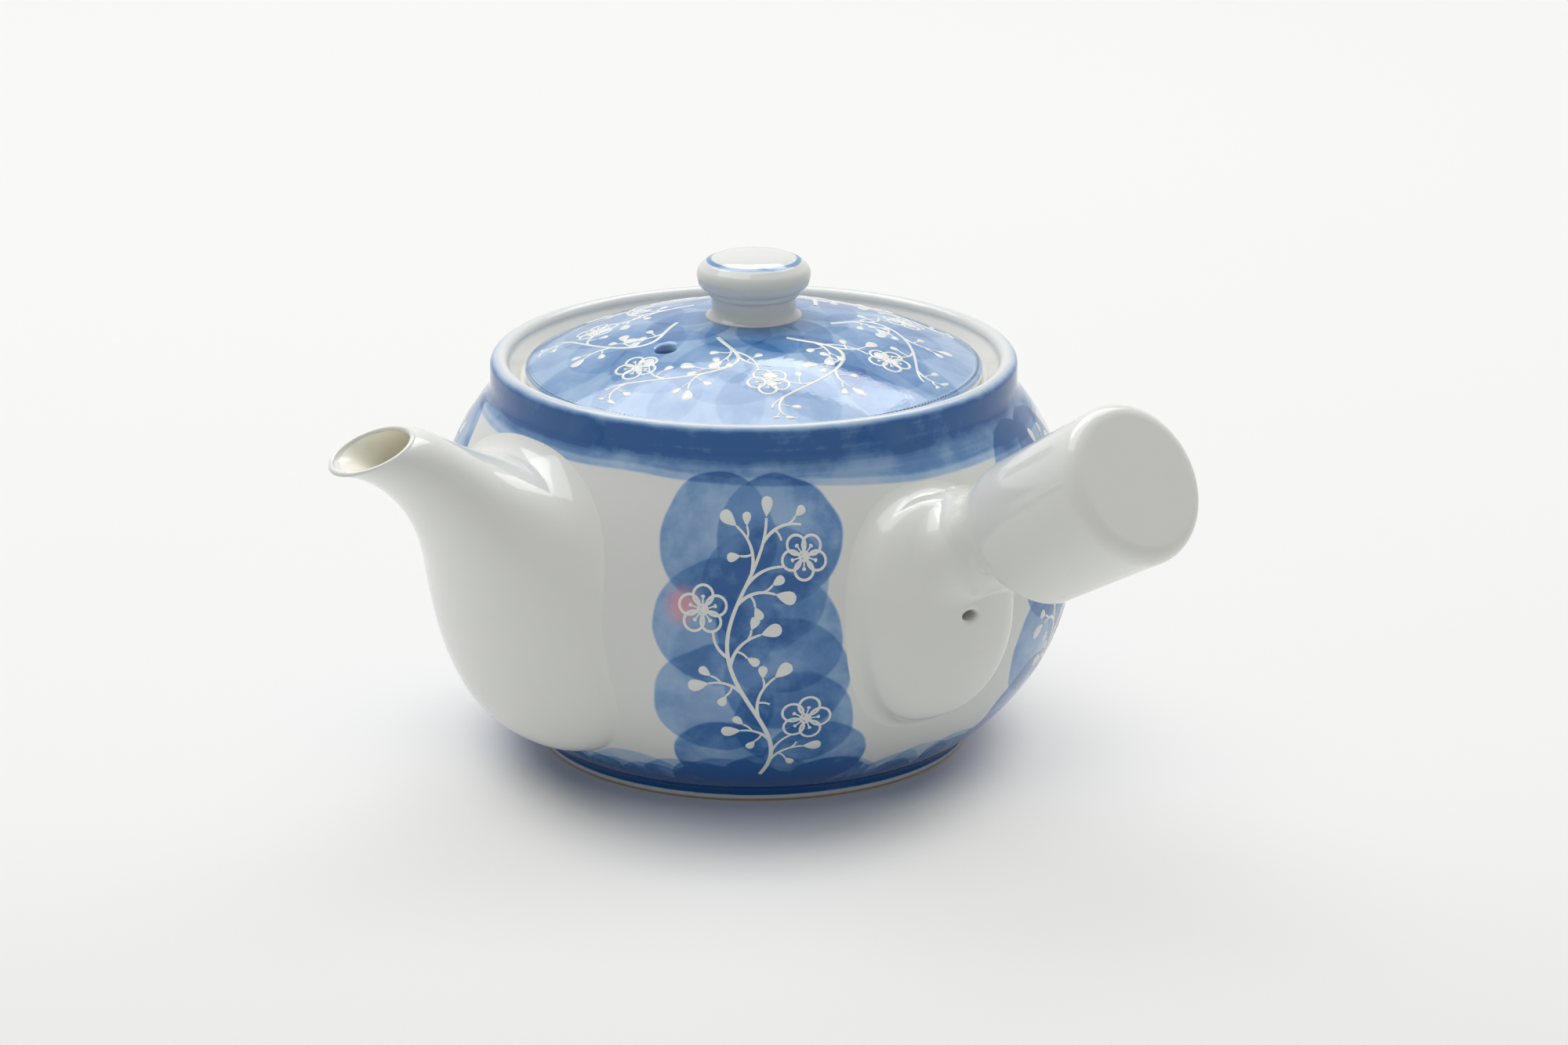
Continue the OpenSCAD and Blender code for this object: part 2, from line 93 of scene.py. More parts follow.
# a path of straight runs whose corners (x, y, radius) are rounded by arcs, cut into steps
def roundedPath(corners, step=1.0):
    pts = np.array([c[:2] for c in corners], float)
    out = [pts[0]]
    for k in range(1, len(pts) - 1):
        rad = corners[k][2] if len(corners[k]) > 2 else 0
        u, v = pts[k - 1] - pts[k], pts[k + 1] - pts[k]
        lu, lv = np.linalg.norm(u), np.linalg.norm(v)
        u, v = u / lu, v / lv
        half = math.acos(max(-1, min(1, float(u @ v)))) / 2
        if rad <= 0 or abs(half - math.pi / 2) < 1e-3:
            out.append(pts[k])
            continue
        reach = min(rad / math.tan(half), 0.49 * lu, 0.49 * lv)
        rad = reach * math.tan(half)
        mid = pts[k] + (u + v) / np.linalg.norm(u + v) * rad / math.sin(half)
        a, b = pts[k] + u * reach - mid, pts[k] + v * reach - mid
        turn = math.atan2(a[0] * b[1] - a[1] * b[0], float(a @ b))
        n = max(3, int(abs(turn) * rad / (0.35 * step)) + 3)
        q = np.linspace(0, turn, n)[:, None]
        out.extend(mid + a * np.cos(q) + np.array([-a[1], a[0]]) * np.sin(q))
    out.append(pts[-1])
    out = np.array(out)
    full = [out[:1]]
    for p, q in zip(out[:-1], out[1:]):
        n = max(1, int(np.ceil(np.linalg.norm(q - p) / step)))
        full.append(p + (q - p) * np.linspace(0, 1, n + 1)[1:, None])
    return np.concatenate(full)


# an arc about a centre, cut into steps
def arcPoints(cx, cy, rad, fromDeg, toDeg, step=1.0):
    n = max(4, int(abs(math.radians(toDeg - fromDeg)) * rad / step) + 1)
    q = np.radians(np.linspace(fromDeg, toDeg, n))
    return np.stack([cx + rad * np.cos(q), cy + rad * np.sin(q)], 1)


# profile (radius, height) turned about +Z
def turned(profile, cols):
    q = allRound(cols)
    r, z = profile[:, 0][:, None], profile[:, 1][:, None]
    return np.stack([r * np.cos(q), r * np.sin(q), z + 0 * q], -1)


# lines cut again at a place of their own: at holds, for each new row and each line, a row with its fraction
def recut(lines, at):
    low = np.clip(np.floor(at).astype(int), 0, len(lines) - 2)
    part = (at - low)[..., None]
    cols = np.arange(lines.shape[1])[None, :]
    return lines[low, cols] * (1 - part) + lines[low + 1, cols] * part


# shader building blocks: a value may be a number or another node's output
def feed(tree, socket, value):
    if isinstance(value, bpy.types.NodeSocket):
        tree.links.new(value, socket)
    else:
        socket.default_value = value


def calc(tree, kind, a, b=None, c=None, clamp=False):
    node = tree.nodes.new("ShaderNodeMath")
    node.operation = kind
    node.use_clamp = clamp
    for socket, value in zip(node.inputs, (a, b, c)):
        if value is not None:
            feed(tree, socket, value)
    return node.outputs[0]


def plus(tree, a, b):
    return calc(tree, "ADD", a, b)


def less(tree, a, b):
    return calc(tree, "SUBTRACT", a, b)


def times(tree, a, b, clamp=False):
    return calc(tree, "MULTIPLY", a, b, clamp=clamp)


# a times b, plus c
def scaled(tree, a, b, c):
    return calc(tree, "MULTIPLY_ADD", a, b, c)


def total(tree, parts):
    out = parts[0]
    for part in parts[1:]:
        out = plus(tree, out, part)
    return out


# eased share of x between two edges, 0 at low and 1 at high
def ease(tree, x, low, high, start=0.0, end=1.0):
    node = tree.nodes.new("ShaderNodeMapRange")
    node.interpolation_type = "SMOOTHSTEP"
    values = {"Value": x, "From Min": low, "From Max": high, "To Min": start, "To Max": end}
    for key, value in values.items():
        feed(tree, node.inputs[key], value)
    return node.outputs[0]


def noise(tree, vector, scale, detail=2.0, rough=0.5):
    node = tree.nodes.new("ShaderNodeTexNoise")
    feed(tree, node.inputs["Vector"], vector)
    node.inputs["Scale"].default_value = scale
    node.inputs["Detail"].default_value = detail
    node.inputs["Roughness"].default_value = rough
    return node.outputs[0]


# a slow noise about zero, as wide as said from end to end
def wobble(tree, vector, scale, width):
    return times(tree, less(tree, noise(tree, vector, scale, 1), 0.5), width)


def joined(tree, x, y, z=0.0):
    node = tree.nodes.new("ShaderNodeCombineXYZ")
    for socket, value in zip(node.inputs, (x, y, z)):
        feed(tree, socket, value)
    return node.outputs[0]


def split(tree, vector):
    node = tree.nodes.new("ShaderNodeSeparateXYZ")
    tree.links.new(vector, node.inputs[0])
    return node.outputs


def distance(tree, a, b=(0, 0, 0)):
    node = tree.nodes.new("ShaderNodeVectorMath")
    node.operation = "DISTANCE"
    feed(tree, node.inputs[0], a)
    feed(tree, node.inputs[1], b)
    return node.outputs["Value"]


# a number of its own, 0 to 1, for each whole part of a run
def cellNumber(tree, run, seed=0.0):
    node = tree.nodes.new("ShaderNodeTexWhiteNoise")
    node.noise_dimensions = "1D"
    feed(tree, node.inputs["W"], plus(tree, calc(tree, "FLOOR", run), seed))
    return node.outputs["Value"]


# the place within a cell, from its middle
def cellPlace(tree, run):
    return less(tree, calc(tree, "FRACT", run), 0.5)


def blendColour(tree, share, a, b):
    node = tree.nodes.new("ShaderNodeMix")
    node.data_type = "RGBA"
    feed(tree, node.inputs[0], share)
    for socket, value in ((node.inputs[6], a), (node.inputs[7], b)):
        feed(tree, socket, (*value, 1) if isinstance(value, tuple) else value)
    return node.outputs[2]


def ramp(tree, x, stops):
    node = tree.nodes.new("ShaderNodeValToRGB")
    feed(tree, node.inputs[0], x)
    marks = node.color_ramp.elements
    while len(marks) < len(stops):
        marks.new(0.5)
    for mark, (at, colour) in zip(marks, stops):
        mark.position = at
        mark.color = (*colour, 1)
    return node.outputs[0]


def newMaterial(name, rough, ior=1.58):
    material = bpy.data.materials.new(name)
    material.use_nodes = True
    tree = material.node_tree
    shader = tree.nodes["Principled BSDF"]
    shader.inputs["Roughness"].default_value = rough
    shader.inputs["IOR"].default_value = ior
    return material, tree, shader


def objectPoint(tree):
    return tree.nodes.new("ShaderNodeTexCoord").outputs["Object"]


# each channel times its own factor
def tinted(colour, factors):
    return tuple(c * f for c, f in zip(colour, factors))


# porcelain colours as seen in flat light, and the relief of the glaze; the bowl's white is the white made
# darker, as painted shade
glaze = {
    "white": (0.79, 0.80, 0.765),
    # the white times 0.93, painted shade on the bowl; it is the ground of every ink ramp, on the lid and knob
    # too
    "bowl": (0.735, 0.745, 0.715),
    "cream": (0.77, 0.765, 0.725),
    # cream made lighter than the white: the glaze's own cream with painted light inside the spout
    "inner": (0.95, 0.92, 0.81),
    "pale": (0.34, 0.49, 0.69),
    "middle": (0.105, 0.25, 0.50),
    "deep": (0.004, 0.096, 0.325),
    "blush": (0.80, 0.30, 0.30),
    "clay": (0.50, 0.42, 0.33),
    "warmer": (0.985, 0.985, 0.965), "cooler": (0.97, 0.985, 1.0),
    "swellScale": 55, "fineScale": 900, "relief": 0.35, "reliefDepth": 0.0012,
}
inkStops = [(0.0, glaze["bowl"]), (0.30, glaze["pale"]), (0.62, glaze["middle"]), (1.0, glaze["deep"])]


# fired glaze is never quite level: a slow swell and a fine orange-peel
def glazeRelief(tree, shader, point, swell=0.25, fine=0.03):
    slow = times(tree, noise(tree, point, glaze["swellScale"], 2), swell)
    height = scaled(tree, noise(tree, point, glaze["fineScale"], 1), fine, slow)
    bump = tree.nodes.new("ShaderNodeBump")
    bump.inputs["Strength"].default_value = glaze["relief"]
    bump.inputs["Distance"].default_value = glaze["reliefDepth"]
    tree.links.new(height, bump.inputs["Height"])
    tree.links.new(bump.outputs[0], shader.inputs["Normal"])


# one plain colour, a touch warmer and duller in clouds
def plainGlaze(name, colour, rough=0.055):
    material, tree, shader = newMaterial(name, rough)
    point = objectPoint(tree)
    share = ease(tree, noise(tree, point, 30, 3), 0.3, 0.7)
    cloudy = blendColour(tree, share, colour, tinted(colour, glaze["warmer"]))
    feed(tree, shader.inputs["Base Color"], cloudy)
    feed(tree, shader.inputs["Roughness"], scaled(tree, share, 0.03, rough - 0.015))
    glazeRelief(tree, shader, point)
    return material


# the bowl: two arcs meet at the belly, a hollow curve leads into the collar
bowl = {
    "bellyR": 60.0, "bellyZ": 37.8, "upperArc": 45.6, "lowerArc": 42.0, "wall": 3.4, "girthR": 61.0,
    "footR": 40.4, "footW": 3.8, "footH": 2.8, "footSoft": 3.0, "footTurn": 3.6,
    "floorZ": 6.0, "floorRise": 1.6, "floorIn": 2.2, "floorRound": 5.0,
    "collarR": 49.0, "collarCurve": 5.0, "rimZ": 74.0, "lipT": 3.4,
    "seatR": 43.3, "seatZ": 69.6, "throatR": 38.0, "ledgeT": 3.2, "eaveDeg": 31.0,
    "holeZ": 44.0, "holeR": 12.0, "landR": 16.0, "landX": 50.5, "cols": 360,
}
upperC = bowl["bellyR"] - bowl["upperArc"]
lowerC = bowl["bellyR"] - bowl["lowerArc"]
# the paint's place along the profile is pushed past its limit where there is none
paint = {"limit": 300.0, "inside": 400.0, "away": 500.0, "columnHalf": 24.0}


# in turn: foot, lower arc, upper arc, hollow, lip and ledge, then back inside on arcs a wall's thickness in
def bowlProfile():
    b = bowl
    footIn, lipR = b["footR"] - b["footW"], b["lipT"] / 2
    startDeg = -math.degrees(math.acos((b["footR"] - lowerC) / b["lowerArc"]))
    startZ = b["bellyZ"] + b["lowerArc"] * math.sin(math.radians(startDeg))
    lower = arcPoints(lowerC, b["bellyZ"], b["lowerArc"], startDeg + b["footTurn"], 0, 0.9)
    under = roundedPath([
        (0, b["footH"]), (footIn, b["footH"], 0.9), (footIn, 0, 0.8), (b["footR"], 0, 0.8),
        (b["footR"], startZ, b["footSoft"]), tuple(lower[0])], 1.2)
    f = b["collarCurve"]
    curveR = b["collarR"] + f - upperC
    curveZ = b["bellyZ"] + math.sqrt((b["upperArc"] + f) ** 2 - curveR ** 2)
    topDeg = math.degrees(math.atan2(curveZ - b["bellyZ"], curveR))
    upper = arcPoints(upperC, b["bellyZ"], b["upperArc"], 0, topDeg, 0.9)
    hollow = arcPoints(b["collarR"] + f, curveZ, f, topDeg - 180, -180, 0.5)
    lip = arcPoints(b["collarR"] - lipR, b["rimZ"] - lipR, lipR, 0, 180, 0.3)
    innerUp = arcPoints(upperC, b["bellyZ"], b["upperArc"] - b["wall"], b["eaveDeg"], 0, 1.6)
    ledge = roundedPath([
        tuple(lip[-1]), (b["seatR"], b["seatZ"], 0.7), (b["throatR"], b["seatZ"], 0.8),
        (b["throatR"], b["seatZ"] - b["ledgeT"], 1.2), tuple(innerUp[0])], 0.8)
    lowIn = b["lowerArc"] - b["wall"]
    floorDeg = -math.degrees(math.asin((b["bellyZ"] - b["floorZ"] - b["floorRise"]) / lowIn))
    innerLow = arcPoints(lowerC, b["bellyZ"], lowIn, 0, floorDeg, 1.6)
    cornerR = lowerC + lowIn * math.cos(math.radians(floorDeg)) - b["floorIn"]
    corner = (cornerR, b["floorZ"], b["floorRound"])
    floor = roundedPath([tuple(innerLow[-1]), corner, (0, b["floorZ"])], 1.8)
    outer = np.concatenate([under[:-1], lower, upper[1:], hollow[1:], lip])
    inside = np.concatenate([ledge[1:], innerUp[1:], innerLow[1:], floor[1:]])
    belly = len(under) - 1 + len(lower) - 1
    return np.concatenate([outer, inside]), belly, len(outer)


# centre and radius of the arc that holds at a height
def bowlArc(z):
    up = z >= bowl["bellyZ"]
    return np.where(up, upperC, lowerC), np.where(up, bowl["upperArc"], bowl["lowerArc"])


# distance outside the bowl's two arcs, with the way out
def bowlOutside(p):
    r = np.hypot(p[..., 0], p[..., 1])
    c, arc = bowlArc(p[..., 2])
    dr, dz = r - c, p[..., 2] - bowl["bellyZ"]
    s = np.hypot(dr, dz)
    way = np.stack([dr / s * p[..., 0] / r, dr / s * p[..., 1] / r, dz / s], -1)
    return s - arc, way


# a point over the bowl: a along its girth from a bearing, b along its profile from the belly, raised by h
def overBowl(a, b, h, bearing):
    arc = np.where(b >= 0, bowl["upperArc"], bowl["lowerArc"])
    q, g = b / arc, np.radians(bearing) + a / bowl["girthR"]
    r = bowl["bellyR"] - arc + (arc + h) * np.cos(q)
    return np.stack([r * np.cos(g), r * np.sin(g), bowl["bellyZ"] + (arc + h) * np.sin(q)], -1)


# lines that run down onto a surface end in a curve tangent to both:
# from a point of the line that stands clear, by way of where it meets the surface, out along the surface
def filletOnto(lines, outside, clear, spread, steps=12, sink=0.3, bury=0.03):
    height, _ = outside(lines)
    cols = np.arange(lines.shape[1])

    def crossing(level):
        k = np.clip(np.argmax(height < level, 0), 1, len(lines) - 1)
        h0, h1 = height[k - 1, cols], height[k, cols]
        share = ((h0 - level) / np.maximum(h0 - h1, 1e-9))[:, None]
        return k, lines[k - 1, cols] * (1 - share) + lines[k, cols] * share

    last, start = crossing(clear)
    _, meet = crossing(0.0)
    way = outside(meet)[1]
    run = np.roll(meet, -1, 0) - np.roll(meet, 1, 0)
    out = np.cross(run, way)
    out /= np.linalg.norm(out, axis=1)[:, None]
    out *= np.sign((out * (meet - meet.mean(0))).sum(1))[:, None]
    end = meet + out * spread[:, None]
    for _ in range(6):
        gap, way = outside(end)
        end = end - way * (gap + bury)[:, None]
    t = np.linspace(0, 1, steps)[:, None, None]
    curve = (1 - t) ** 2 * start + 2 * t * (1 - t) * meet + t ** 2 * end
    tuck = (end - outside(end)[1] * sink + out * sink)[None]
    # the free part of each line is re-cut so that it ends where its curve begins
    share = np.linspace(0, 1, int(last.max()) + 1)[:, None]
    return np.concatenate([recut(lines, share * (last - 1)[None, :]), curve, tuck])


profile, bellyRow, outerRows = bowlProfile()
length = np.concatenate([[0], np.cumsum(np.linalg.norm(np.diff(profile, axis=0), axis=1))])
along = length - length[bellyRow]
along[outerRows:] += paint["inside"]
around = np.linspace(0, 2 * np.pi * bowl["bellyR"], bowl["cols"] + 1)
bowlUv = np.stack(np.broadcast_arrays(around[None, :], along[:, None]), -1)
potBowl = gridPiece("potBowl", turned(profile, bowl["cols"]), uv=bowlUv)


# a plain rod along X, used only to set the strainer's seat and hole into the bowl
def rodAlongX(name, rad, x0, x1, cols=96):
    prof = np.array([[0, x0], [rad, x0], [rad, x1], [0, x1]])
    p = turned(prof, cols)
    points = np.stack([p[..., 2], p[..., 0], p[..., 1] + bowl["holeZ"]], -1)
    return gridPiece(name, points, uv=np.full((len(prof), cols + 1, 2), paint["away"]))


# joins a tool to a piece or cuts it out, then throws the tool away
def carve(piece, tool, kind):
    step = piece.modifiers.new(kind.lower(), "BOOLEAN")
    step.operation = kind
    step.object = tool
    step.solver = "EXACT"
    bpy.context.view_layer.update()
    done = bpy.data.meshes.new_from_object(piece.evaluated_get(bpy.context.evaluated_depsgraph_get()))
    piece.modifiers.clear()
    piece.data = done
    bpy.data.objects.remove(tool)


landFrom, holeFrom = -bowl["bellyR"] + 1.6 * bowl["wall"], -bowl["bellyR"] - 5
carve(potBowl, rodAlongX("land", bowl["landR"], landFrom, -bowl["landX"]), "UNION")
carve(potBowl, rodAlongX("hole", bowl["holeR"], holeFrom, -bowl["landX"] + 1), "DIFFERENCE")
potBowl.data.set_sharp_from_angle(angle=math.radians(50))
print("bowl", len(potBowl.data.polygons), "faces")

# the spout: ovals between an under and an over curve, each a fourth-degree curve with five controls;
# the controls are counted from the belly, the root's height, the lip or the heel of the mouth
spout = {
    "reach": 32.9, "lipZ": 67.9, "mouthLen": 16.9, "mouthSlope": 19.7,
    "rootIn": 16.0, "lowZ": 9.0, "highZ": 61.3,
    "underBelly": (3.9, -8.5), "underMid": (2.8, 43.0), "underThroat": (20.0, 6.4),
    "overBelly": (-0.6, 2.4), "overMid": (4.1, 4.9), "overThroat": (5.8, 1.3),
    "halfWidths": (30.5, 26.5, 11.7, 8.1, 7.2),
    "wall": 3.0, "edge": 1.15, "edgeSide": 0.65, "edgeFrom": 0.86,
    "underWall": ((0, 1.2), (-1, 1.5), (-1.25, 0.6), (-0.9, 0.75), (0, 0)),
    "overWall": ((0, -1.2), (0, -1.1), (0.35, -1), (0.3, -0.8), (0, 0)),
    "sideWall": (1.1, 1.1, 0.95, 0.6, 0),
    "full": 0.80, "fullTo": 0.5, "rows": 110, "cols": 160, "insideRows": 60, "edgeRows": 7,
    "clear": 0.4, "clearTop": 3.1, "spread": 0.7, "spreadTop": 5.6,
}


# a curve of the fourth degree through five weighted controls
def fourth(controls, t):
    p = np.asarray(controls, float).reshape(5, -1)
    t = np.asarray(t)[:, None]
    ends = (1 - t) ** 4 * p[0] + 4 * (1 - t) ** 3 * t * p[1]
    return ends + 6 * ((1 - t) * t) ** 2 * p[2] + 4 * (1 - t) * t ** 3 * p[3] + t ** 4 * p[4]


# a power of the size of x that keeps its sign
def signedPower(x, e):
    return np.sign(x) * np.abs(x) ** e


# the ovals are fuller than an ellipse towards the root
def ovals(under, over, half, t):
    a, b, w = fourth(under, t), fourth(over, t), fourth(half, t)[:, :1]
    mid, rise = (a + b) / 2, (b - a) / 2
    q = allRound(spout["cols"])[None, :]
    full = spout["full"] + (1 - spout["full"]) * np.clip(t / spout["fullTo"], 0, 1)[:, None]
    upright, level = signedPower(np.cos(q), full), signedPower(np.sin(q), full)
    out, up = mid[:, :1] + rise[:, :1] * upright, mid[:, 1:] + rise[:, 1:] * upright
    return np.stack([-out, w * level, up], -1)


# outer skin from the bowl up to the mouth, the mouth's edge, and the inner skin back down
def spoutPoints():
    s = spout
    slope = math.radians(s["mouthSlope"])
    run = np.array([math.cos(slope), -math.sin(slope)])
    lip = np.array([bowl["bellyR"] + s["reach"], s["lipZ"]])
    heel = lip - s["mouthLen"] * run
    belly, rootIn = np.array([bowl["bellyR"], 0]), np.array([s["rootIn"], 0])
    low, high = belly + [0, s["lowZ"]], belly + [0, s["highZ"]]
    under = np.array([
        low - rootIn, low + s["underBelly"], belly + s["underMid"], lip - s["underThroat"], lip])
    over = np.array([
        high - rootIn, high + s["overBelly"], high + s["overMid"], heel - s["overThroat"], heel])
    half = np.array(s["halfWidths"])
    inUnder, inOver = under + s["wall"] * np.array(s["underWall"]), over + s["wall"] * np.array(s["overWall"])
    inHalf = half - s["wall"] * np.array(s["sideWall"])
    inUnder[4] -= s["edge"] * run
    inOver[4] += s["edge"] * run
    inHalf[4] -= s["edge"] * s["edgeSide"]
    t = np.linspace(1, 0.0, s["rows"])
    outer, inner = ovals(under, over, half, t), ovals(inUnder, inOver, inHalf, t)
    # the mouth's edge is a half round between the two skins, drawn back so that its crest stays at the mouth
    up = np.array([-math.sin(slope), 0, math.cos(slope)])
    thick = np.linalg.norm(outer[0] - inner[0], axis=1)[None, :, None] / 2
    fade = np.clip((t - s["edgeFrom"]) / (1 - s["edgeFrom"]), 0, 1)[:, None, None] ** 2
    outer, inner = outer - up * thick * fade, inner - up * thick * fade
    q = np.linspace(0, np.pi, s["edgeRows"] + 2)[1:-1, None, None]
    mid = (outer[:1] + inner[:1]) / 2
    edge = mid + (outer[:1] - mid) * np.cos(q) + up * thick * np.sin(q)
    # a wide hollow above, a soft crease at the flanks and below
    above = np.maximum(np.cos(allRound(s["cols"])), 0) ** 1.5
    clear, spread = s["clear"] + s["clearTop"] * above, s["spread"] + s["spreadTop"] * above
    outside = filletOnto(outer, bowlOutside, clear, spread)
    stop = np.clip(np.argmax(bowlOutside(inner)[0] < -1.0, 0), 2, len(t) - 1)
    inside = recut(inner, np.linspace(0, 1, s["insideRows"])[:, None] * stop[None, :])
    return np.concatenate([outside[::-1], edge, inside]), len(outside) + s["edgeRows"] + 1


spoutGrid, spoutInner = spoutPoints()
spoutShell = gridPiece("spoutShell", spoutGrid, closeRows=True)
spoutShell.data.set_sharp_from_angle(angle=math.radians(40))
print("spout", len(spoutShell.data.polygons), "faces")

# the oval pad: a cushion laid over the bowl, with the vent at the middle of its rings
pad = {
    "w": 16.6, "l": 21.7, "lAbove": 20.2, "up": 2.6, "rise": 6.0, "bearing": 266.6, "round": 0.85,
    "domePower": 2.5, "domeRound": 0.4, "skirt": 1.15, "skirtPower": 2.2, "turn": 0.96, "tuck": 0.3,
    "vent": (1.6, 0.85), "ventAt": (2.5, -0.5), "ventDeep": 4.2, "ventSoft": (0.35, 0.10), "cols": 160,
}


# height over the bowl: a flat-topped dome over a full oval, which runs out in a hollow skirt
def padHeight(a, b):
    p = 2 / pad["round"]
    long = np.where(b > pad["up"], pad["lAbove"], pad["l"])
    s = (np.abs(a / pad["w"]) ** p + np.abs((b - pad["up"]) / long) ** p) ** (1 / p)
    turn, power, bend = pad["turn"], pad["domePower"], pad["domeRound"]
    dome = pad["rise"] * np.maximum(1 - np.minimum(s, turn) ** power, 0) ** bend
    edge = pad["rise"] * (1 - turn ** power) ** bend
    foot = edge * np.clip((pad["skirt"] - s) / (pad["skirt"] - turn), 0, 1) ** pad["skirtPower"]
    return np.where(s <= turn, dome, foot)


# rings from the vent's oval to the skirt's, raised by the height;
# the vent's wall goes down from the first ring
def padPoints():
    q = allRound(pad["cols"])[None, :]
    fine, wide, close = np.linspace(0, 0.06, 6), np.linspace(0.06, 0.80, 34), np.linspace(0.80, 1.0, 34)
    share = np.concatenate([fine, wide[1:], close[1:]])[:, None]
    va, vb = pad["ventAt"]
    ventW, ventH = pad["vent"]
    long = np.where(np.sin(q) > 0, pad["lAbove"], pad["l"])
    edgeA = pad["skirt"] * pad["w"] * signedPower(np.cos(q), pad["round"])
    edgeB = pad["skirt"] * long * signedPower(np.sin(q), pad["round"])
    a = (1 - share) * (va + ventW * np.cos(q)) + share * edgeA
    b = (1 - share) * (vb + ventH * np.sin(q)) + share * edgeB + pad["up"]
    h = padHeight(a, b)
    h[:2] -= np.array(pad["ventSoft"])[:, None]  # the vent's edge is softened by the glaze
    top = overBowl(a, b, h, pad["bearing"])
    ca, cb = np.zeros_like(a[0]) + va, np.zeros_like(b[0]) + vb + pad["up"]
    deep = padHeight(ca, cb) - pad["ventDeep"]
    wall = [
        overBowl(ca + (a[0] - ca) * k, cb + (b[0] - cb) * k, d, pad["bearing"])
        for k, d in ((0, deep), (0.9, deep), (0.92, deep + 2), (0.94, h[0] - 0.5))]
    skirt = overBowl(a[-1], b[-1], h[-1] - pad["tuck"], pad["bearing"])
    return np.concatenate([np.array(wall), top, skirt[None]])


padShell = gridPiece("padShell", padPoints())
padShell.data.set_sharp_from_angle(angle=math.radians(50))
print("pad", len(padShell.data.polygons), "faces")

# the handle: a closed tube turned about its own sloping axis, its neck curved into the pad
handle = {
    "bearing": 274.0, "slope": 30.65, "out": 64.0, "z": 50.4, "len": 43.5, "neckLen": 14.5, "root": -14.0,
    "rootR": 13.8, "endR": 14.8, "endEdge": 3.0, "neckEdge": 4.0, "cols": 144, "plug": 1.0,
    "dropAbove": 2.7, "dropBelow": 6.9, "lead": (3.2, 10.8), "clear": (0.6, 6.0), "spread": (0.6, 7.0),
}


# height over the pad, with the way out found from small steps
def padOutside(p):
    def level(v):
        r = np.hypot(v[..., 0], v[..., 1])
        c, arc = bowlArc(v[..., 2])
        q = np.arctan2(v[..., 2] - bowl["bellyZ"], r - c)
        turn = np.arctan2(v[..., 1], v[..., 0]) - math.radians(pad["bearing"])
        a = (np.mod(turn + np.pi, 2 * np.pi) - np.pi) * bowl["girthR"]
        return np.hypot(r - c, v[..., 2] - bowl["bellyZ"]) - arc - padHeight(a, q * arc)

    e = 0.05
    slope = np.stack([level(p + way) - level(p - way) for way in np.eye(3) * e], -1) / (2 * e)
    size = np.linalg.norm(slope, axis=-1)
    return level(p) / size, slope / size[..., None]


# the tube's profile about its axis, drawn in at the neck by a smooth step that changes round the tube
def handlePoints():
    h = handle
    path = roundedPath([
        (0, h["len"]), (h["endR"], h["len"], h["endEdge"]), (h["rootR"], h["neckLen"], h["neckEdge"]),
        (h["rootR"], h["root"])], 0.4)
    q = allRound(h["cols"])[None, :]
    g, e = math.radians(h["bearing"]), math.radians(h["slope"])
    axis = np.array([math.cos(g) * math.cos(e), math.sin(g) * math.cos(e), math.sin(e)])
    side = np.array([-math.sin(g), math.cos(g), 0])
    top = np.cross(axis, side)
    start = np.array([h["out"] * math.cos(g), h["out"] * math.sin(g), h["z"]])
    # clay fills the neck out at the sides, less above, and leaves a step below
    below = 0.5 - 0.5 * np.sin(q)
    drop = h["dropAbove"] * (1 - below) ** 2 + h["dropBelow"] * below ** 2.2
    lead = h["lead"][1] + (h["lead"][0] - h["lead"][1]) * below ** 3
    filled = (4 * below * (1 - below)) ** 2 + 0.4 * (1 - below) ** 4
    clear, spread = (h[k][0] + (h[k][1] - h[k][0]) * filled[0] for k in ("clear", "spread"))
    r, x = path[:, :1], path[:, 1:]
    share = np.clip((h["neckLen"] - x) / lead, 0, 1)
    r = r - drop * share ** 2 * (3 - 2 * share)
    lines = start + x[..., None] * axis + (r * np.cos(q))[..., None] * side + (r * np.sin(q))[..., None] * top
    skin = filletOnto(lines, padOutside, clear, spread)
    # the hidden end is closed by a shallow plug
    mid, inwards = skin[-1].mean(0), axis * h["plug"]
    plug = [mid + (skin[-1] - mid) * 0.6 - inwards, np.broadcast_to(mid - inwards, skin[-1].shape)]
    return np.concatenate([skin, plug])


handleTube = gridPiece("handleTube", handlePoints())
handleTube.data.set_sharp_from_angle(angle=math.radians(40))
print("handle", len(handleTube.data.polygons), "faces")

# the lid: a shallow dome with a thin edge, a flange underneath and a steam hole beside the knob
lid = {
    "r": 42.5, "bottom": 69.9, "edge": 1.8, "rise": 9.8, "t": 3.4, "topTo": 0.985, "edgeIn": 1.0,
    "flangeOut": 37.2, "flangeT": 2.8, "flangeH": 5.0,
    "steamR": 1.8, "steamAt": 22.1, "steamBearing": 186.0, "steamSoft": 0.45, "cols": 288,
    "drawnFrom": 34.5, "drawnSpan": 6.4,
}
domeR = (lid["r"] ** 2 + lid["rise"] ** 2) / (2 * lid["rise"])
domeTop = lid["bottom"] + lid["edge"] + lid["rise"]
domeC = domeTop - domeR
steamTurn = math.radians(lid["steamBearing"])
steamHole = np.array([math.cos(steamTurn), math.sin(steamTurn)]) * lid["steamAt"]


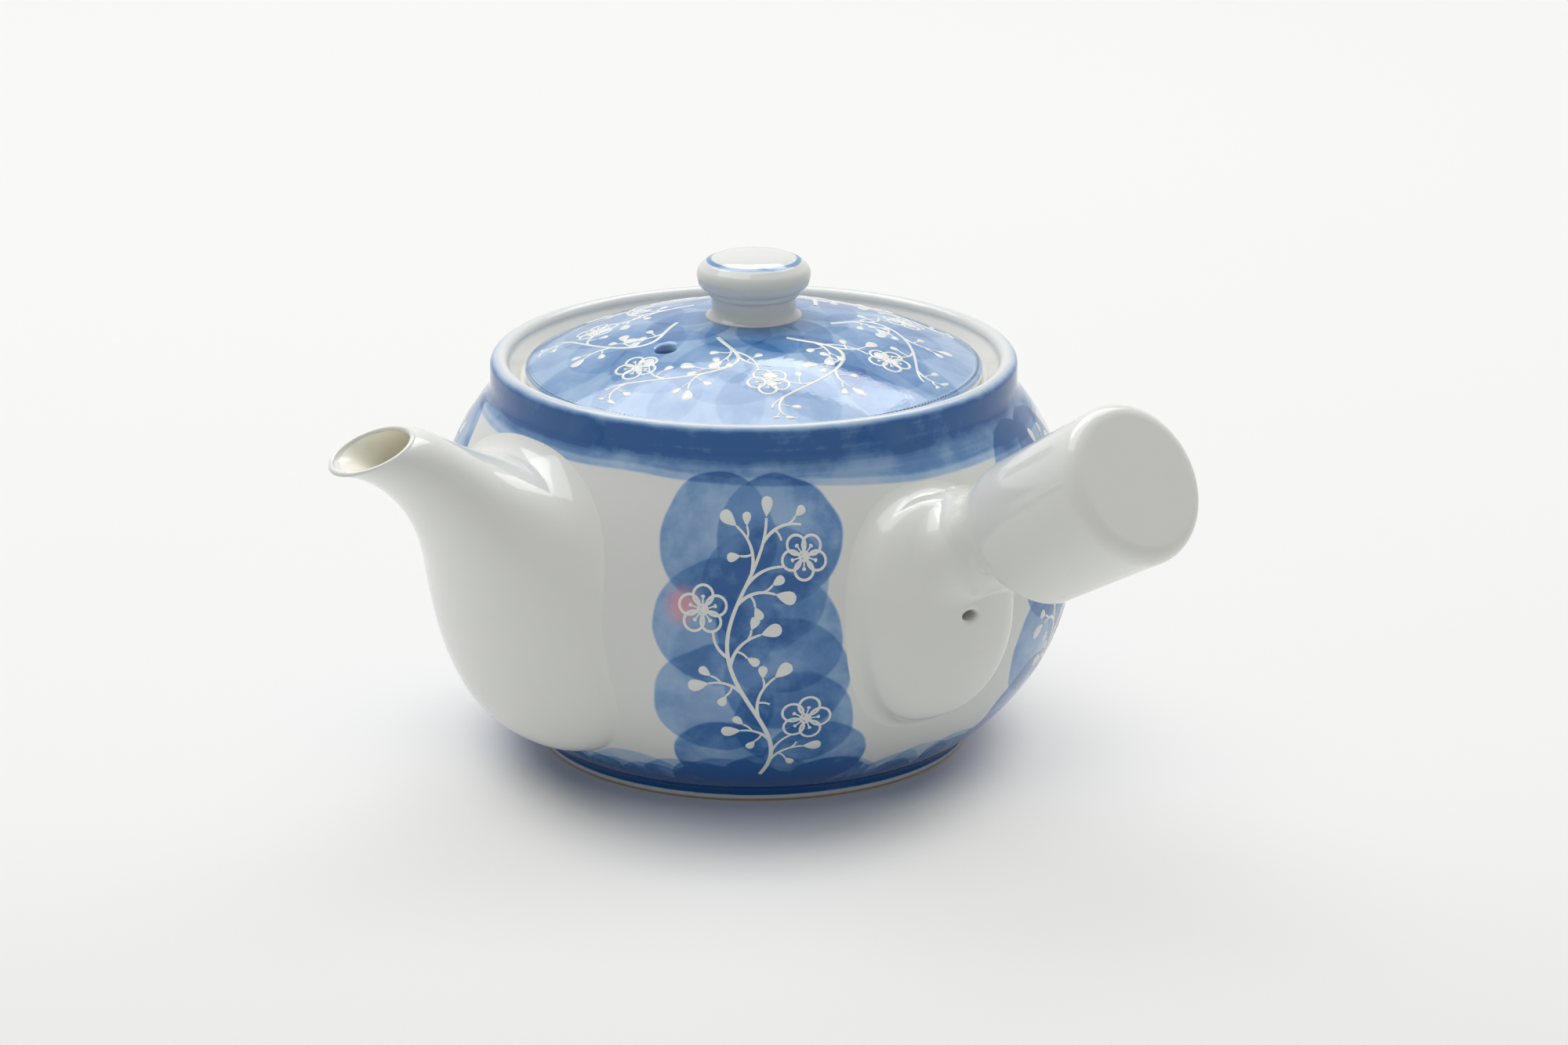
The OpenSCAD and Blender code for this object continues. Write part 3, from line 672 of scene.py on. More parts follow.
# rings that open out from the steam hole to the lid's own axis,
# over the top, round the edge and back underneath
def lidPoints():
    k = lid
    q = allRound(k["cols"])[None, :]

    def rings(share, rimR, skinR, drop):
        share = np.asarray(share)[:, None]
        rad = k["steamR"] * (1 - share) + rimR * share
        x, y = steamHole[0] * (1 - share) + rad * np.cos(q), steamHole[1] * (1 - share) + rad * np.sin(q)
        z = domeC + np.sqrt(skinR ** 2 - x ** 2 - y ** 2) - np.asarray(drop)[:, None]
        return np.stack([x, y, z], -1)

    share = np.concatenate([np.linspace(0, 0.05, 6), np.linspace(0.05, k["topTo"], 70)[1:]])
    soft = k["steamSoft"] * np.clip(1 - share / 0.025, 0, 1) ** 2
    top = rings(share, k["r"], domeR, soft)
    edgeR, flangeIn, flangeZ = k["r"] - k["edgeIn"], k["flangeOut"] - k["flangeT"], k["bottom"] - k["flangeH"]
    edgePath = roundedPath([
        (edgeR, domeC + math.sqrt(domeR ** 2 - edgeR ** 2)), (k["r"], k["bottom"] + k["edge"], 0.7),
        (k["r"], k["bottom"], 0.5), (k["flangeOut"], k["bottom"], 0.5), (k["flangeOut"], flangeZ, 0.9),
        (flangeIn, flangeZ, 0.9), (flangeIn, k["bottom"] + 0.5)], 0.8)
    under = rings(np.linspace(1, 0, 40)[1:], flangeIn, domeR - k["t"], np.zeros(39))
    return np.concatenate([top, turned(edgePath, k["cols"]), under])


lidDome = gridPiece("lidDome", lidPoints(), closeRows=True)
print("lid", len(lidDome.data.polygons), "faces")

# the knob: a flattened round head over a short neck with a thin bead, flared where it meets the lid
knob = {
    "r": 10.5, "neckR": 7.9, "footR": 8.7, "h": 11.7, "sunk": 0.55, "beadR": 8.6,
    "crown": 30.0, "crownAt": 7.0, "lineR": 8.35, "cols": 128,
}


# a rounded path up the foot, neck, bead and head, closed by the crown's wide arc and turned about the axis
def knobPoints():
    k = knob
    base, top = domeTop - k["sunk"], domeTop + k["h"]
    sag = k["crown"] - math.sqrt(k["crown"] ** 2 - k["crownAt"] ** 2)
    deg = math.degrees(math.asin(k["crownAt"] / k["crown"]))
    crown = arcPoints(0, top - k["crown"], k["crown"], 90 - deg, 90, 0.6)
    path = roundedPath([
        (0, base - 1.2), (k["footR"] + 0.3, base - 1.2, 0.2), (k["footR"] + 0.2, base + 0.3, 0.3),
        (k["neckR"], base + 1.2, 1.5), (k["neckR"], base + 4.0, 0.5),
        (k["beadR"], base + 4.4, 0.4), (k["beadR"], base + 5.3, 0.4),
        (k["r"] - 0.4, base + 5.9, 3.2), (k["r"] + 0.35, top - 3.4, 3.6),
        (k["crownAt"] + 1.9, top - sag - 0.75, 3.0), tuple(crown[0])], 0.4)
    return turned(np.concatenate([path, crown[1:]]), k["cols"])


knobHead = gridPiece("knobHead", knobPoints())
print("knob", len(knobHead.data.polygons), "faces")

# the strainer: a soft ring pushed into the hole and a steel rim with a rolled edge;
# the pierced dome is the frame's own
strainer = {
    "sleeveR": 11.7, "rimR": 10.1, "domeR": 9.3, "flangeR": 14.8, "flangeT": 1.3, "sleeve": 5.0,
    "rimFlange": 1.8, "rimT": 0.6, "seat": -50.2, "cols": 128,
}


# a section (radius, depth) turned about the hole's axis
def alongX(path):
    p = turned(path, strainer["cols"])
    return np.stack([p[..., 2] + strainer["seat"], p[..., 0], p[..., 1] + bowl["holeZ"]], -1)


# a closed rounded section, begun in the middle of its last side
def closedPath(corners, step):
    first = tuple((np.array(corners[0][:2]) + np.array(corners[-1][:2])) / 2)
    return roundedPath([first, *corners, first], step)[:-1]


# a sleeve through the hole with a flange that lies on the land
def gasketPath():
    k = strainer
    return closedPath([
        (k["rimR"], -k["sleeve"], 0.3), (k["sleeveR"], -k["sleeve"], 0.6), (k["sleeveR"], 0, 0.2),
        (k["flangeR"], 0, 0.5), (k["flangeR"], k["flangeT"], 0.6), (k["rimR"], k["flangeT"], 0.3)], 0.6)


# a thin tube inside the sleeve with a flat flange over the ring
def rimPath():
    k = strainer
    flangeR, flangeTop = k["rimR"] + k["rimFlange"], k["flangeT"] + k["rimT"]
    return closedPath([
        (k["domeR"], -k["sleeve"], 0.2), (k["rimR"], -k["sleeve"], 0.2), (k["rimR"], k["flangeT"], 0.1),
        (flangeR, k["flangeT"], 0.25), (flangeR, flangeTop, 0.3), (k["domeR"], flangeTop, 0.25)], 0.4)


strainerGasket = gridPiece("strainerGasket", alongX(gasketPath()), closeRows=True)
strainerRim = gridPiece("strainerRim", alongX(rimPath()), closeRows=True)
print("strainer", len(strainerGasket.data.polygons) + len(strainerRim.data.polygons), "faces")

# the white sprigs stand a hair above the blue: strokes with a rounded back, drops and plum petals
sprig = {
    "edge": -0.05, "strokeH": (0.055, 0.08), "dropH": (0.12, 0.11, 0.065), "dropL": 4.4, "dropW": 3.0,
    "budL": 2.9, "budW": 2.1, "twigL": 2.3, "petalR": 1.75, "petalAt": 2.5, "petalStroke": 0.62,
    "stamen": (0.5, 1.9), "stamenStroke": 0.34, "points": 26, "dropCols": 18,
}


# the unit way at an angle: its cosine and its sine
def heading(a):
    return np.stack([np.cos(a), np.sin(a)], -1)


# a stroke is a line of points with a width at each, crossed by a five-point arched section
def strokes(lines, widths):
    lines, widths = np.asarray(lines, float), np.asarray(widths, float)
    run = np.gradient(lines, axis=1)
    run /= np.maximum(np.linalg.norm(run, axis=2), 1e-9)[..., None]
    left = np.stack([-run[..., 1], run[..., 0]], -1)
    across = np.array([-1, -0.62, 0, 0.62, 1])
    low, high = sprig["strokeH"]
    arch = np.array([sprig["edge"], low, high, low, sprig["edge"]])
    flat = lines[:, :, None, :] + left[:, :, None, :] * (widths[..., None] / 2 * across)[..., None]
    raised = np.where(widths[..., None] > 0.05, arch, sprig["edge"]) + 0 * flat[..., 0]
    rows, cols = lines.shape[1], len(across)
    faces = np.concatenate([gridFaces(rows, cols, False, False, s * rows * cols) for s in range(len(lines))])
    return flat.reshape(-1, 2), raised.reshape(-1), faces


# a drop: pointed where its stalk joins, round at its tip, domed like a bead of slip
def drops(at, aim, length, width):
    at, aim = np.asarray(at, float), np.asarray(aim, float)
    q = allRound(sprig["dropCols"])
    ringShare = np.array([0.0, 0.45, 0.8, 1.0])
    ringHigh = np.array([*sprig["dropH"], sprig["edge"]])
    x = -0.5 * np.cos(q)[None, :] * ringShare[:, None] + 0.5
    y = 0.62 * (np.sin(q) * np.abs(np.sin(q / 2)) ** 1.3)[None, :] * ringShare[:, None]
    lx = np.asarray(length)[:, None, None] * x
    ly = np.asarray(width)[:, None, None] * y
    c, s = np.cos(aim)[:, None, None], np.sin(aim)[:, None, None]
    flat = np.stack([at[:, 0, None, None] + lx * c - ly * s, at[:, 1, None, None] + lx * s + ly * c], -1)
    high = np.broadcast_to(ringHigh[None, :, None], flat.shape[:-1])
    rows, cols = len(ringShare), len(q)
    faces = np.concatenate([gridFaces(rows, cols, False, True, n * rows * cols) for n in range(len(at))])
    return flat.reshape(-1, 2), high.reshape(-1), faces


# several strokes and drops as one set of points, heights and faces
def gathered(parts):
    flat, high, faces, first = [], [], [], 0
    for f, h, q in parts:
        flat.append(f)
        high.append(h)
        faces.append(q + first)
        first += len(f)
    return np.concatenate(flat), np.concatenate(high), np.concatenate(faces)


# a line bowed to one side by a share of its length
def bent(start, end, bow):
    t = np.linspace(0, 1, sprig["points"])[:, None]
    start, end = np.asarray(start, float), np.asarray(end, float)
    side = np.array([-(end - start)[1], (end - start)[0]])
    return start + (end - start) * t + side * bow * 4 * t * (1 - t)


# a line with its width at either end
def tapered(line, fromW, toW):
    return strokes([line], [np.linspace(fromW, toW, len(line))])


# a five-petal plum blossom in outline, with a round heart and stamens
def blossom(centre, size, turn):
    centre, k = np.asarray(centre, float), sprig
    aims = turn + np.arange(5) * 2 * np.pi / 5
    ways = heading(aims)
    mid = centre + size * k["petalAt"] * ways
    ring = heading(np.linspace(0, 2 * np.pi, k["points"]))
    loop = mid[:, None, :] + size * k["petalR"] * ring[None]
    stamen = centre + size * np.linspace(*k["stamen"], k["points"])[None, :, None] * ways[:, None, :]
    heart = centre - np.array([0.75, 0]) * size
    return [
        strokes(loop, np.full(loop.shape[:2], k["petalStroke"])),
        strokes(stamen, np.full(stamen.shape[:2], k["stamenStroke"])),
        drops(centre + size * 1.75 * ways, aims, np.full(5, 0.9), np.full(5, 0.95)),
        drops([heart], [0.0], np.array([1.5 * size]), np.array([1.7 * size])),
    ]


# a climbing stem: a slow wave, with curled side shoots left and right that end in drops;
# the shoots keep off the blossoms, and each blossom hangs on a stalk of its own
def climbing(stem, sway, shoots, flowers, seed, wide=1.0):
    draw = np.random.default_rng(seed)
    main = tapered(stem, 1.2 * wide, 0.65 * wide)
    parts, heads = [], []
    for centre, size, turn in flowers:
        centre = np.asarray(centre, float)
        i = max(4, int(np.argmin(np.linalg.norm(stem - centre, axis=1))) - 12)
        way = (stem[i] - centre) / np.linalg.norm(stem[i] - centre)
        heads.append(tapered(bent(stem[i], centre + way * size * 4.0, 0.14), 0.8 * wide, 0.5 * wide))
        heads += blossom(centre, size, turn)
    run = np.gradient(stem, axis=0)
    for n, share in enumerate(shoots):
        i = int(share * (len(stem) - 1))
        side = 1 if n % 2 else -1
        lean = math.atan2(run[i, 1], run[i, 0]) + side * (0.75 + 0.25 * draw.random())
        reach = sway * (0.8 + 0.45 * draw.random())
        tip = stem[i] + reach * heading(lean)
        shoot = bent(stem[i], tip, -side * 0.16)
        parts.append(tapered(shoot, 0.85 * wide, 0.5 * wide))
        aim = math.atan2(*(shoot[-1] - shoot[-3])[::-1])
        drop = tip - 0.3 * heading(aim)
        parts.append(drops([drop], [aim], [sprig["dropL"] * wide], [sprig["dropW"] * wide]))
        for m, back in ((9, 1), (17, -1)):
            leaf = aim + back * side * 0.85
            far = shoot[m] + sprig["twigL"] * wide * heading(leaf)
            parts.append(tapered(bent(shoot[m], far, 0.1 * back), 0.5 * wide, 0.5 * wide))
            bud = far - 0.2 * heading(leaf)
            parts.append(drops([bud], [leaf], [sprig["budL"] * wide], [sprig["budW"] * wide]))
    taken = [(np.asarray(c, float), 4.7 * size) for c, size, _ in flowers]
    parts = [p for p in parts if all(np.linalg.norm(p[0] - c, axis=1).min() > far for c, far in taken)]
    return [main, *parts, *heads]


# each column of washes on the bowl: its bearing, the way it faces and how far it is shifted up
columns = [(233.0, 1, 0.0), (305.0, 1, 1.0), (13.0, -1, -1.5), (76.5, 1, 1.5), (140.0, -1, 0.5)]
columnStem = {
    "wave": 4.6, "turns": 1.15, "phase": 0.08, "aside": -1.0, "from": -33.0, "rise": 55.0,
    "sway": 7.8, "seed": 11,
    "flowers": [((-9.4, 5.5), 1.05, 0.3), ((9.4, 15.0), 1.0, 0.9), ((9.8, -16.5), 1.15, 0.1)],
}


# in each column a stem climbs in a sine wave that calms down towards its tip
def bowlSprigs():
    k = columnStem
    t = np.linspace(0, 1, 90)
    wave = k["wave"] * np.sin(2 * np.pi * (k["turns"] * t + k["phase"])) * (1 - 0.25 * t)
    stem = np.stack([wave + k["aside"], k["from"] + k["rise"] * t], -1)
    verts, faces, first = [], [], 0
    for n, (bearing, face, shift) in enumerate(columns):
        parts = climbing(stem, k["sway"], np.linspace(0.1, 0.93, 9), k["flowers"], k["seed"] + n)
        parts.append(drops([stem[-1]], [1.5], [4.2], [2.8]))
        flat, high, quads = gathered(parts)
        verts.append(overBowl(face * flat[:, 0], flat[:, 1] + shift, high, bearing))
        faces.append((quads if face > 0 else quads[:, ::-1]) + first)
        first += len(flat)
    return newPiece("bowlSprigs", np.concatenate(verts), np.concatenate(faces))


# a point over the lid's dome, laid out in plan; what would pass the lid's edge is drawn in
def overLid(flat, high):
    far = np.linalg.norm(flat, axis=1)
    start, span = lid["drawnFrom"], lid["drawnSpan"]
    drawn = np.where(far > start, start + span * np.tanh((far - start) / span), far)
    flat = flat * (drawn / np.maximum(far, 1e-9))[:, None]
    z = np.sqrt(domeR ** 2 - (flat ** 2).sum(1))
    way = np.stack([flat[:, 0], flat[:, 1], z], -1) / domeR
    return np.array([0, 0, domeC]) + way * (domeR + high)[:, None]


lidStem = {
    "sectors": 7, "turned": 0.12, "from": 14.5, "reach": 23.0, "wave": 0.34, "aside": -0.1, "sway": 5.6,
    "shoots": (0.16, 0.3, 0.44, 0.58, 0.72, 0.88), "flowerAt": (29.5, 0.46), "flowerSize": 0.92,
    "seed": 40, "wide": 0.82, "clearHole": 0.8,
}


# one stem in each sector, from the knob outwards, with a bearing that swings in a sine wave
def lidSprigs():
    k = lidStem
    t = np.linspace(0, 1, 60)
    swing = k["wave"] * np.sin(np.pi * 1.5 * t) + k["aside"]
    stem = (k["from"] + k["reach"] * t)[:, None] * heading(swing)
    flowerR, flowerTurn = k["flowerAt"]
    parts = []
    for n in range(k["sectors"]):
        turn = 2 * np.pi * (n + k["turned"]) / k["sectors"]
        c, s = math.cos(turn), math.sin(turn)
        flowers = [(flowerR * heading(flowerTurn), k["flowerSize"], n * 0.7)]
        for f, h, q in climbing(stem, k["sway"], k["shoots"], flowers, k["seed"] + n, k["wide"]):
            parts.append((np.stack([f[:, 0] * c - f[:, 1] * s, f[:, 0] * s + f[:, 1] * c], -1), h, q))
    clear = lid["steamR"] + k["clearHole"]
    parts = [p for p in parts if np.linalg.norm(p[0] - steamHole, axis=1).min() > clear]
    flat, high, faces = gathered(parts)
    return newPiece("lidSprigs", overLid(flat, high), faces)


bowlSprigPiece = bowlSprigs()
lidSprigPiece = lidSprigs()
print("sprigs", len(bowlSprigPiece.data.polygons) + len(lidSprigPiece.data.polygons), "faces")

# washes in one column, in millimetres across and up from the belly: place, radius and strength
columnWashes = [
    (-7.2, 19.0, 11.6, 0.47), (4.6, 18.8, 11.7, 0.52), (-7.0, 2.8, 11.5, 0.44), (2.4, 9.6, 11.4, 0.39),
    (4.8, 1.2, 11.5, 0.45), (-7.2, -12.6, 11.4, 0.42), (6.0, -7.4, 11.5, 0.44), (7.8, -17.4, 11.4, 0.47),
    (-6.2, -27.6, 10.8, 0.52), (12.4, -28.4, 11.0, 0.52), (2.0, -36.0, 10.4, 0.55), (-13.0, -36.4, 7.4, 0.42),
    (-2.6, 13.4, 1.7, 0.66), (7.6, 16.6, 1.9, 0.64), (-3.4, -2.8, 2.2, 0.62),
    (3.2, 4.8, 1.8, 0.55), (-4.2, -18.6, 1.6, 0.50), (10.8, -31.4, 1.9, 0.50),
]
blush = {"at": (-12.8, 6.6, 0), "from": 0.4, "to": 4.6, "strength": 0.75}
# scalloped washes along the base: how many round the bowl, shift, height of their middles, radius, strength
girth = 377.0
baseWashes = [(25, 0.0, -42.6, 12.0, 0.31), (22, 5.0, -41.6, 12.6, 0.27), (16, 9.0, -43.0, 16.0, 0.24)]
baseLine = {"from": -38.8, "to": -36.8, "strength": 0.34}
# the band under the lip: heights of its body and of the two paler edges below,
# and where the lip is wiped clean
band = {
    "body": (66.2, 68.6), "bodyInk": 0.52, "edges": [(64.7, 65.2, 0.30), (65.8, 66.4, 0.24)],
    "wiped": (72.4, 73.95), "wipedInk": 0.14, "lipFrom": (46.6, 48.3),
    "drift": 1.9, "sagAt": 300.0, "sag": 2.6, "streak": (0.7, 0.66),
}
footline = {"ink": (1.1, 1.5), "bare": (0.35, 0.75)}
washEdge = 0.35


# the small touches of thick blue have softer edges than the washes
def soft(rad):
    return 0.8 if rad < 3 else 0.32


# each wash takes its share of the white that the others leave, and is a little stronger near its edge
def columnInk(tree, flat):
    left = 1.0
    for x, y, rad, strength in columnWashes:
        d = distance(tree, flat, (x, y, 0))
        m = ease(tree, d, rad - soft(rad), rad + soft(rad), strength, 0.0)
        m = times(tree, m, ease(tree, d, 0.2 * rad, 0.98 * rad, 0.9, 1.12))
        left = times(tree, left, less(tree, 1.0, m))
    return less(tree, 1.0, left)


# rows of discs of uneven size, overlapping, and a line of ink above the foot
def baseInk(tree, u, v, wobbleU, wobbleV):
    parts = []
    for count, shift, height, big, strength in baseWashes:
        cell = girth / count
        run = calc(tree, "DIVIDE", plus(tree, u, shift), cell)
        across = plus(tree, times(tree, cellPlace(tree, run), cell), wobbleU)
        d = distance(tree, joined(tree, across, plus(tree, v, wobbleV)), (0, height, 0))
        rad = scaled(tree, cellNumber(tree, run), 3.4, big - 2.6)
        parts.append(ease(tree, less(tree, d, rad), -washEdge, washEdge, strength, 0.0))
    k = baseLine
    return total(tree, [*parts, ease(tree, plus(tree, v, wobbleU), k["from"], k["to"], k["strength"], 0.0)])


# laid on with a wide wet brush: streaks run round, the edge drifts and sinks a little on the handle's side
def bandInk(tree, u, z, point):
    streak = noise(tree, joined(tree, times(tree, u, 0.012), times(tree, z, 1.1)), 1.0, 4, 0.65)
    drift = wobble(tree, joined(tree, times(tree, u, 0.03), 0.3), 1.0, band["drift"])
    turn = scaled(tree, u, 1 / bowl["bellyR"], -math.radians(band["sagAt"]))
    near = scaled(tree, calc(tree, "COSINE", turn), 0.5, 0.5)
    sag = times(tree, calc(tree, "POWER", near, 3.0), band["sag"])
    drifted = plus(tree, z, drift)
    sunk = plus(tree, drifted, sag)
    ink = [ease(tree, drifted, *band["body"], 0.0, band["bodyInk"])]
    ink += [ease(tree, sunk, low, high, 0.0, strength) for low, high, strength in band["edges"]]
    x, y, _ = split(tree, point)
    away = times(tree, distance(tree, joined(tree, x, y)), 1000.0)
    wiped = ease(tree, z, *band["wiped"], 1.0, band["wipedInk"])
    top = times(tree, wiped, ease(tree, away, *band["lipFrom"]))
    return times(tree, times(tree, total(tree, ink), top), scaled(tree, streak, *band["streak"]))


# washes in columns, scallops along the base and the band add up to one ink, laid over white
def bowlGlaze():
    material, tree, shader = newMaterial("bowlGlaze", 0.05, 1.5)
    uvNode = tree.nodes.new("ShaderNodeUVMap")
    uvNode.uv_map = "paint"
    u, v, _ = split(tree, uvNode.outputs[0])
    point = objectPoint(tree)
    z = times(tree, split(tree, point)[2], 1000.0)
    # the place within the nearest column, and far away where there is none
    half = math.pi * bowl["bellyR"]
    place, chosen, lift = [], [], []
    for bearing, face, shift in columns:
        du = calc(tree, "WRAP", less(tree, u, math.radians(bearing) * bowl["bellyR"]), half, -half)
        near = calc(tree, "LESS_THAN", calc(tree, "ABSOLUTE", du), paint["columnHalf"])
        place.append(times(tree, times(tree, du, near), float(face)))
        chosen.append(near)
        lift.append(times(tree, near, shift))
    offColumn = times(tree, less(tree, 1.0, total(tree, chosen)), paint["away"])
    wobbleU, wobbleV = wobble(tree, point, 70, 3.4), wobble(tree, point, 85, 3.4)
    across = plus(tree, plus(tree, total(tree, place), offColumn), wobbleU)
    flat = joined(tree, across, plus(tree, less(tree, v, total(tree, lift)), wobbleV))
    ink = plus(tree, columnInk(tree, flat), baseInk(tree, u, v, wobbleU, wobbleV))
    ink = times(tree, ink, ease(tree, z, *footline["ink"]))
    outside = calc(tree, "LESS_THAN", v, paint["limit"])
    ink = times(tree, plus(tree, ink, bandInk(tree, u, z, point)), outside)
    # thin and thick places in each wash
    pool = scaled(tree, ease(tree, noise(tree, point, 110, 5, 0.6), 0.34, 0.66), 0.46, 0.78)
    colour = ramp(tree, times(tree, ink, pool, clamp=True), inkStops)
    pink = ease(tree, distance(tree, flat, blush["at"]), blush["from"], blush["to"], blush["strength"], 0.0)
    colour = blendColour(tree, pink, colour, glaze["blush"])
    colour = blendColour(tree, less(tree, 1.0, outside), colour, glaze["cream"])
    bare = ease(tree, z, *footline["bare"], 1.0, 0.0)
    feed(tree, shader.inputs["Base Color"], blendColour(tree, bare, colour, glaze["clay"]))
    feed(tree, shader.inputs["Roughness"], scaled(tree, bare, 0.6, 0.05))
    glazeRelief(tree, shader, point)
    return material


# rings of round washes on the lid, each ring laid twice with the second set between the first:
# radius, how many, start, radius of a wash, strength
# the two inner rings by the knob are laid stronger, as painted shade under the knob
lidWashes = [
    (11.5, 4, 0.1, 8.4, 0.12), (12.5, 4, 0.6, 8.8, 0.16), (24.5, 6, 0.25, 11.4, 0.07),
    (25.5, 6, 0.75, 11.8, 0.09), (37.0, 9, 0.0, 11.6, 0.06), (36.0, 9, 0.5, 12.0, 0.08),
]
lidPaint = {"base": 0.27, "uneven": 0.07, "edgeZ": (71.0, 71.5), "skin": (1.6, 2.2)}


# an uneven blue ground with the rings of washes added, on the dome's upper skin alone
def lidGlaze():
    material, tree, shader = newMaterial("lidGlaze", 0.06, 1.55)
    point = objectPoint(tree)
    x, y, height = split(tree, point)
    sway = wobble(tree, point, 70, 0.002)
    planX, planY = plus(tree, x, sway), less(tree, y, sway)
    bearing = calc(tree, "DIVIDE", calc(tree, "ARCTAN2", planY, planX), 2 * math.pi)
    away = times(tree, distance(tree, joined(tree, planX, planY)), 1000.0)
    parts = []
    for ringR, count, start, big, strength in lidWashes:
        run = plus(tree, times(tree, bearing, count), start + count)
        number = cellNumber(tree, run, ringR)
        turn = times(tree, cellPlace(tree, run), 2 * math.pi / count)
        ahead, aside = (times(tree, away, calc(tree, kind, turn)) for kind in ("COSINE", "SINE"))
        d = distance(tree, joined(tree, ahead, aside), (ringR, 0, 0))
        rad = scaled(tree, number, 2.2, big - 2.0)
        m = ease(tree, less(tree, d, rad), -washEdge, washEdge, 1.0, 0.0)
        parts.append(times(tree, m, scaled(tree, number, lidPaint["uneven"], strength)))
    pool = scaled(tree, ease(tree, noise(tree, point, 110, 4, 0.55), 0.32, 0.68), 0.34, 0.84)
    ink = times(tree, plus(tree, total(tree, parts), lidPaint["base"]), pool, clamp=True)
    # the edge, the underside and the inside stay plain
    z = times(tree, height, 1000.0)
    r = times(tree, distance(tree, joined(tree, x, y)), 1000.0)
    below = less(tree, scaled(tree, times(tree, r, r), -1 / (2 * domeR), domeTop), z)
    under = ease(tree, z, *lidPaint["edgeZ"], 1.0, 0.0)
    unpainted = calc(tree, "MAXIMUM", under, ease(tree, below, *lidPaint["skin"]))
    colour = blendColour(tree, unpainted, ramp(tree, ink, inkStops), glaze["cream"])
    feed(tree, shader.inputs["Base Color"], colour)
    glazeRelief(tree, shader, point)
    return material


# white, with one thin brushed ring round the crown
def knobGlaze():
    material, tree, shader = newMaterial("knobGlaze", 0.05)
    point = objectPoint(tree)
    x, y, height = split(tree, point)
    r = scaled(tree, distance(tree, joined(tree, x, y)), 1000.0, wobble(tree, point, 120, 0.5))
    off = calc(tree, "ABSOLUTE", less(tree, r, knob["lineR"]))
    high = calc(tree, "GREATER_THAN", height, (domeTop + knob["h"] - 3.2) * mm)
    ink = times(tree, ease(tree, off, 0.25, 0.6, 0.62, 0.0), high)
    ink = times(tree, ink, scaled(tree, noise(tree, point, 200, 2), 0.9, 0.5), clamp=True)
    feed(tree, shader.inputs["Base Color"], ramp(tree, ink, inkStops))
    glazeRelief(tree, shader, point)
    return material


# turned steel: fine rings about the hole's axis
def steelFinish(name, rough):
    material, tree, shader = newMaterial(name, rough)
    shader.inputs["Metallic"].default_value = 1.0
    x, y, z = split(tree, objectPoint(tree))
    brushed = noise(tree, joined(tree, times(tree, x, 9.0), y, z), 420, 4, 0.6)
    steel = blendColour(tree, brushed, (0.50, 0.51, 0.52), (0.68, 0.69, 0.70))
    feed(tree, shader.inputs["Base Color"], steel)
    feed(tree, shader.inputs["Roughness"], scaled(tree, brushed, 0.16, rough - 0.08))
    return material


# a clouded grey with a dull fine grain
def siliconeFinish():
    material, tree, shader = newMaterial("siliconeFinish", 0.42, 1.41)
    point = objectPoint(tree)
    cloudy = blendColour(tree, noise(tree, point, 140, 3), (0.62, 0.63, 0.61), (0.72, 0.73, 0.70))
    feed(tree, shader.inputs["Base Color"], cloudy)
    glazeRelief(tree, shader, point, 0.1, 0.12)
    return material


# thin porcelain lets some light through its wall
def innerGlaze():
    # the inside's cream is lighter than the white outside: partly the glaze's own tint, partly painted light
    material = plainGlaze("innerGlaze", glaze["inner"])
    shader = material.node_tree.nodes["Principled BSDF"]
    shader.inputs["Subsurface Weight"].default_value = 0.6
    shader.inputs["Subsurface Scale"].default_value = 0.003
    shader.inputs["Subsurface Radius"].default_value = (1.0, 0.93, 0.78)
    return material


plain = plainGlaze("plainGlaze", glaze["white"])
raised = plainGlaze("raisedGlaze", tinted(glaze["white"], glaze["cooler"]))
dressed = [
    (potBowl, bowlGlaze(), "pot", "porcelain", ["pot_body"]),
    (spoutShell, plain, "pot", "porcelain", ["spout"]),
    (padShell, plain, "pot", "porcelain", ["handle_boss"]),
    (handleTube, plain, "pot", "porcelain", ["handle"]),
    (bowlSprigPiece, raised, "pot", "porcelain", []),
    (lidDome, lidGlaze(), "lid", "lid_glaze", ["lid"]),
    (lidSprigPiece, raised, "lid", "lid_glaze", []),
    (knobHead, knobGlaze(), "lid", "porcelain", ["knob"]),
    (strainerGasket, siliconeFinish(), "strainer", "gasket", ["strainer_gasket"]),
    (strainerRim, steelFinish("rimSteel", 0.28), "strainer", "steel", ["strainer_rim"]),
]
for piece, material, body, slot, nodes in dressed:
    piece.data.materials.clear()
    piece.data.materials.append(material)
    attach(piece, body)
    if nodes:
        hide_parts(*nodes)
innerFace = np.arange(len(spoutShell.data.polygons)) >= spoutInner * spout["cols"]
spoutShell.data.materials.append(innerGlaze())
spoutShell.data.polygons.foreach_set("material_index", innerFace.astype(np.int32))
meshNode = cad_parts["strainer_mesh"]
meshNode.data.materials.clear()
meshNode.data.materials.append(steelFinish("domeSteel", 0.34))
print("materials", len(bpy.data.materials))

# the table, the soft lights and the camera
studio = {
    "floor": (0.88, 0.882, 0.875), "floorSide": 6.0, "horizon": 0.15, "zenith": 0.60, "seen": 0.90,
    # a white glow mixed into the floor: painted light that lightens the shadow, weaker towards the front
    "paintedLight": 0.58, "paintedLightColour": (0.868, 0.868, 0.854, 1), "paintedLightReach": (0.036, 0.058),
    "paintedLightFront": (0.02, 0.17), "paintedLightStrength": (0.98, 0.87), "shadowAside": 0.002, "shadowDeep": 0.62,
}
view = {
    "turn": -37.0, "far": 1.059, "rise": 19.787, "yaw": 0.322, "pitch": 17.69, "lens": 128.03, "sensor": 36.0,
}
# soft boxes: bearing from the camera, height angle, distance, size and power
boxes = {
    "backBox": (180, 58, 1.5, (1.9, 0.75), 9.9),
    "topBox": (225, 72, 1.3, (1.1, 1.1), 7.1),
    "window": (165, 50, 1.4, (0.5, 0.3), 1.3),
}


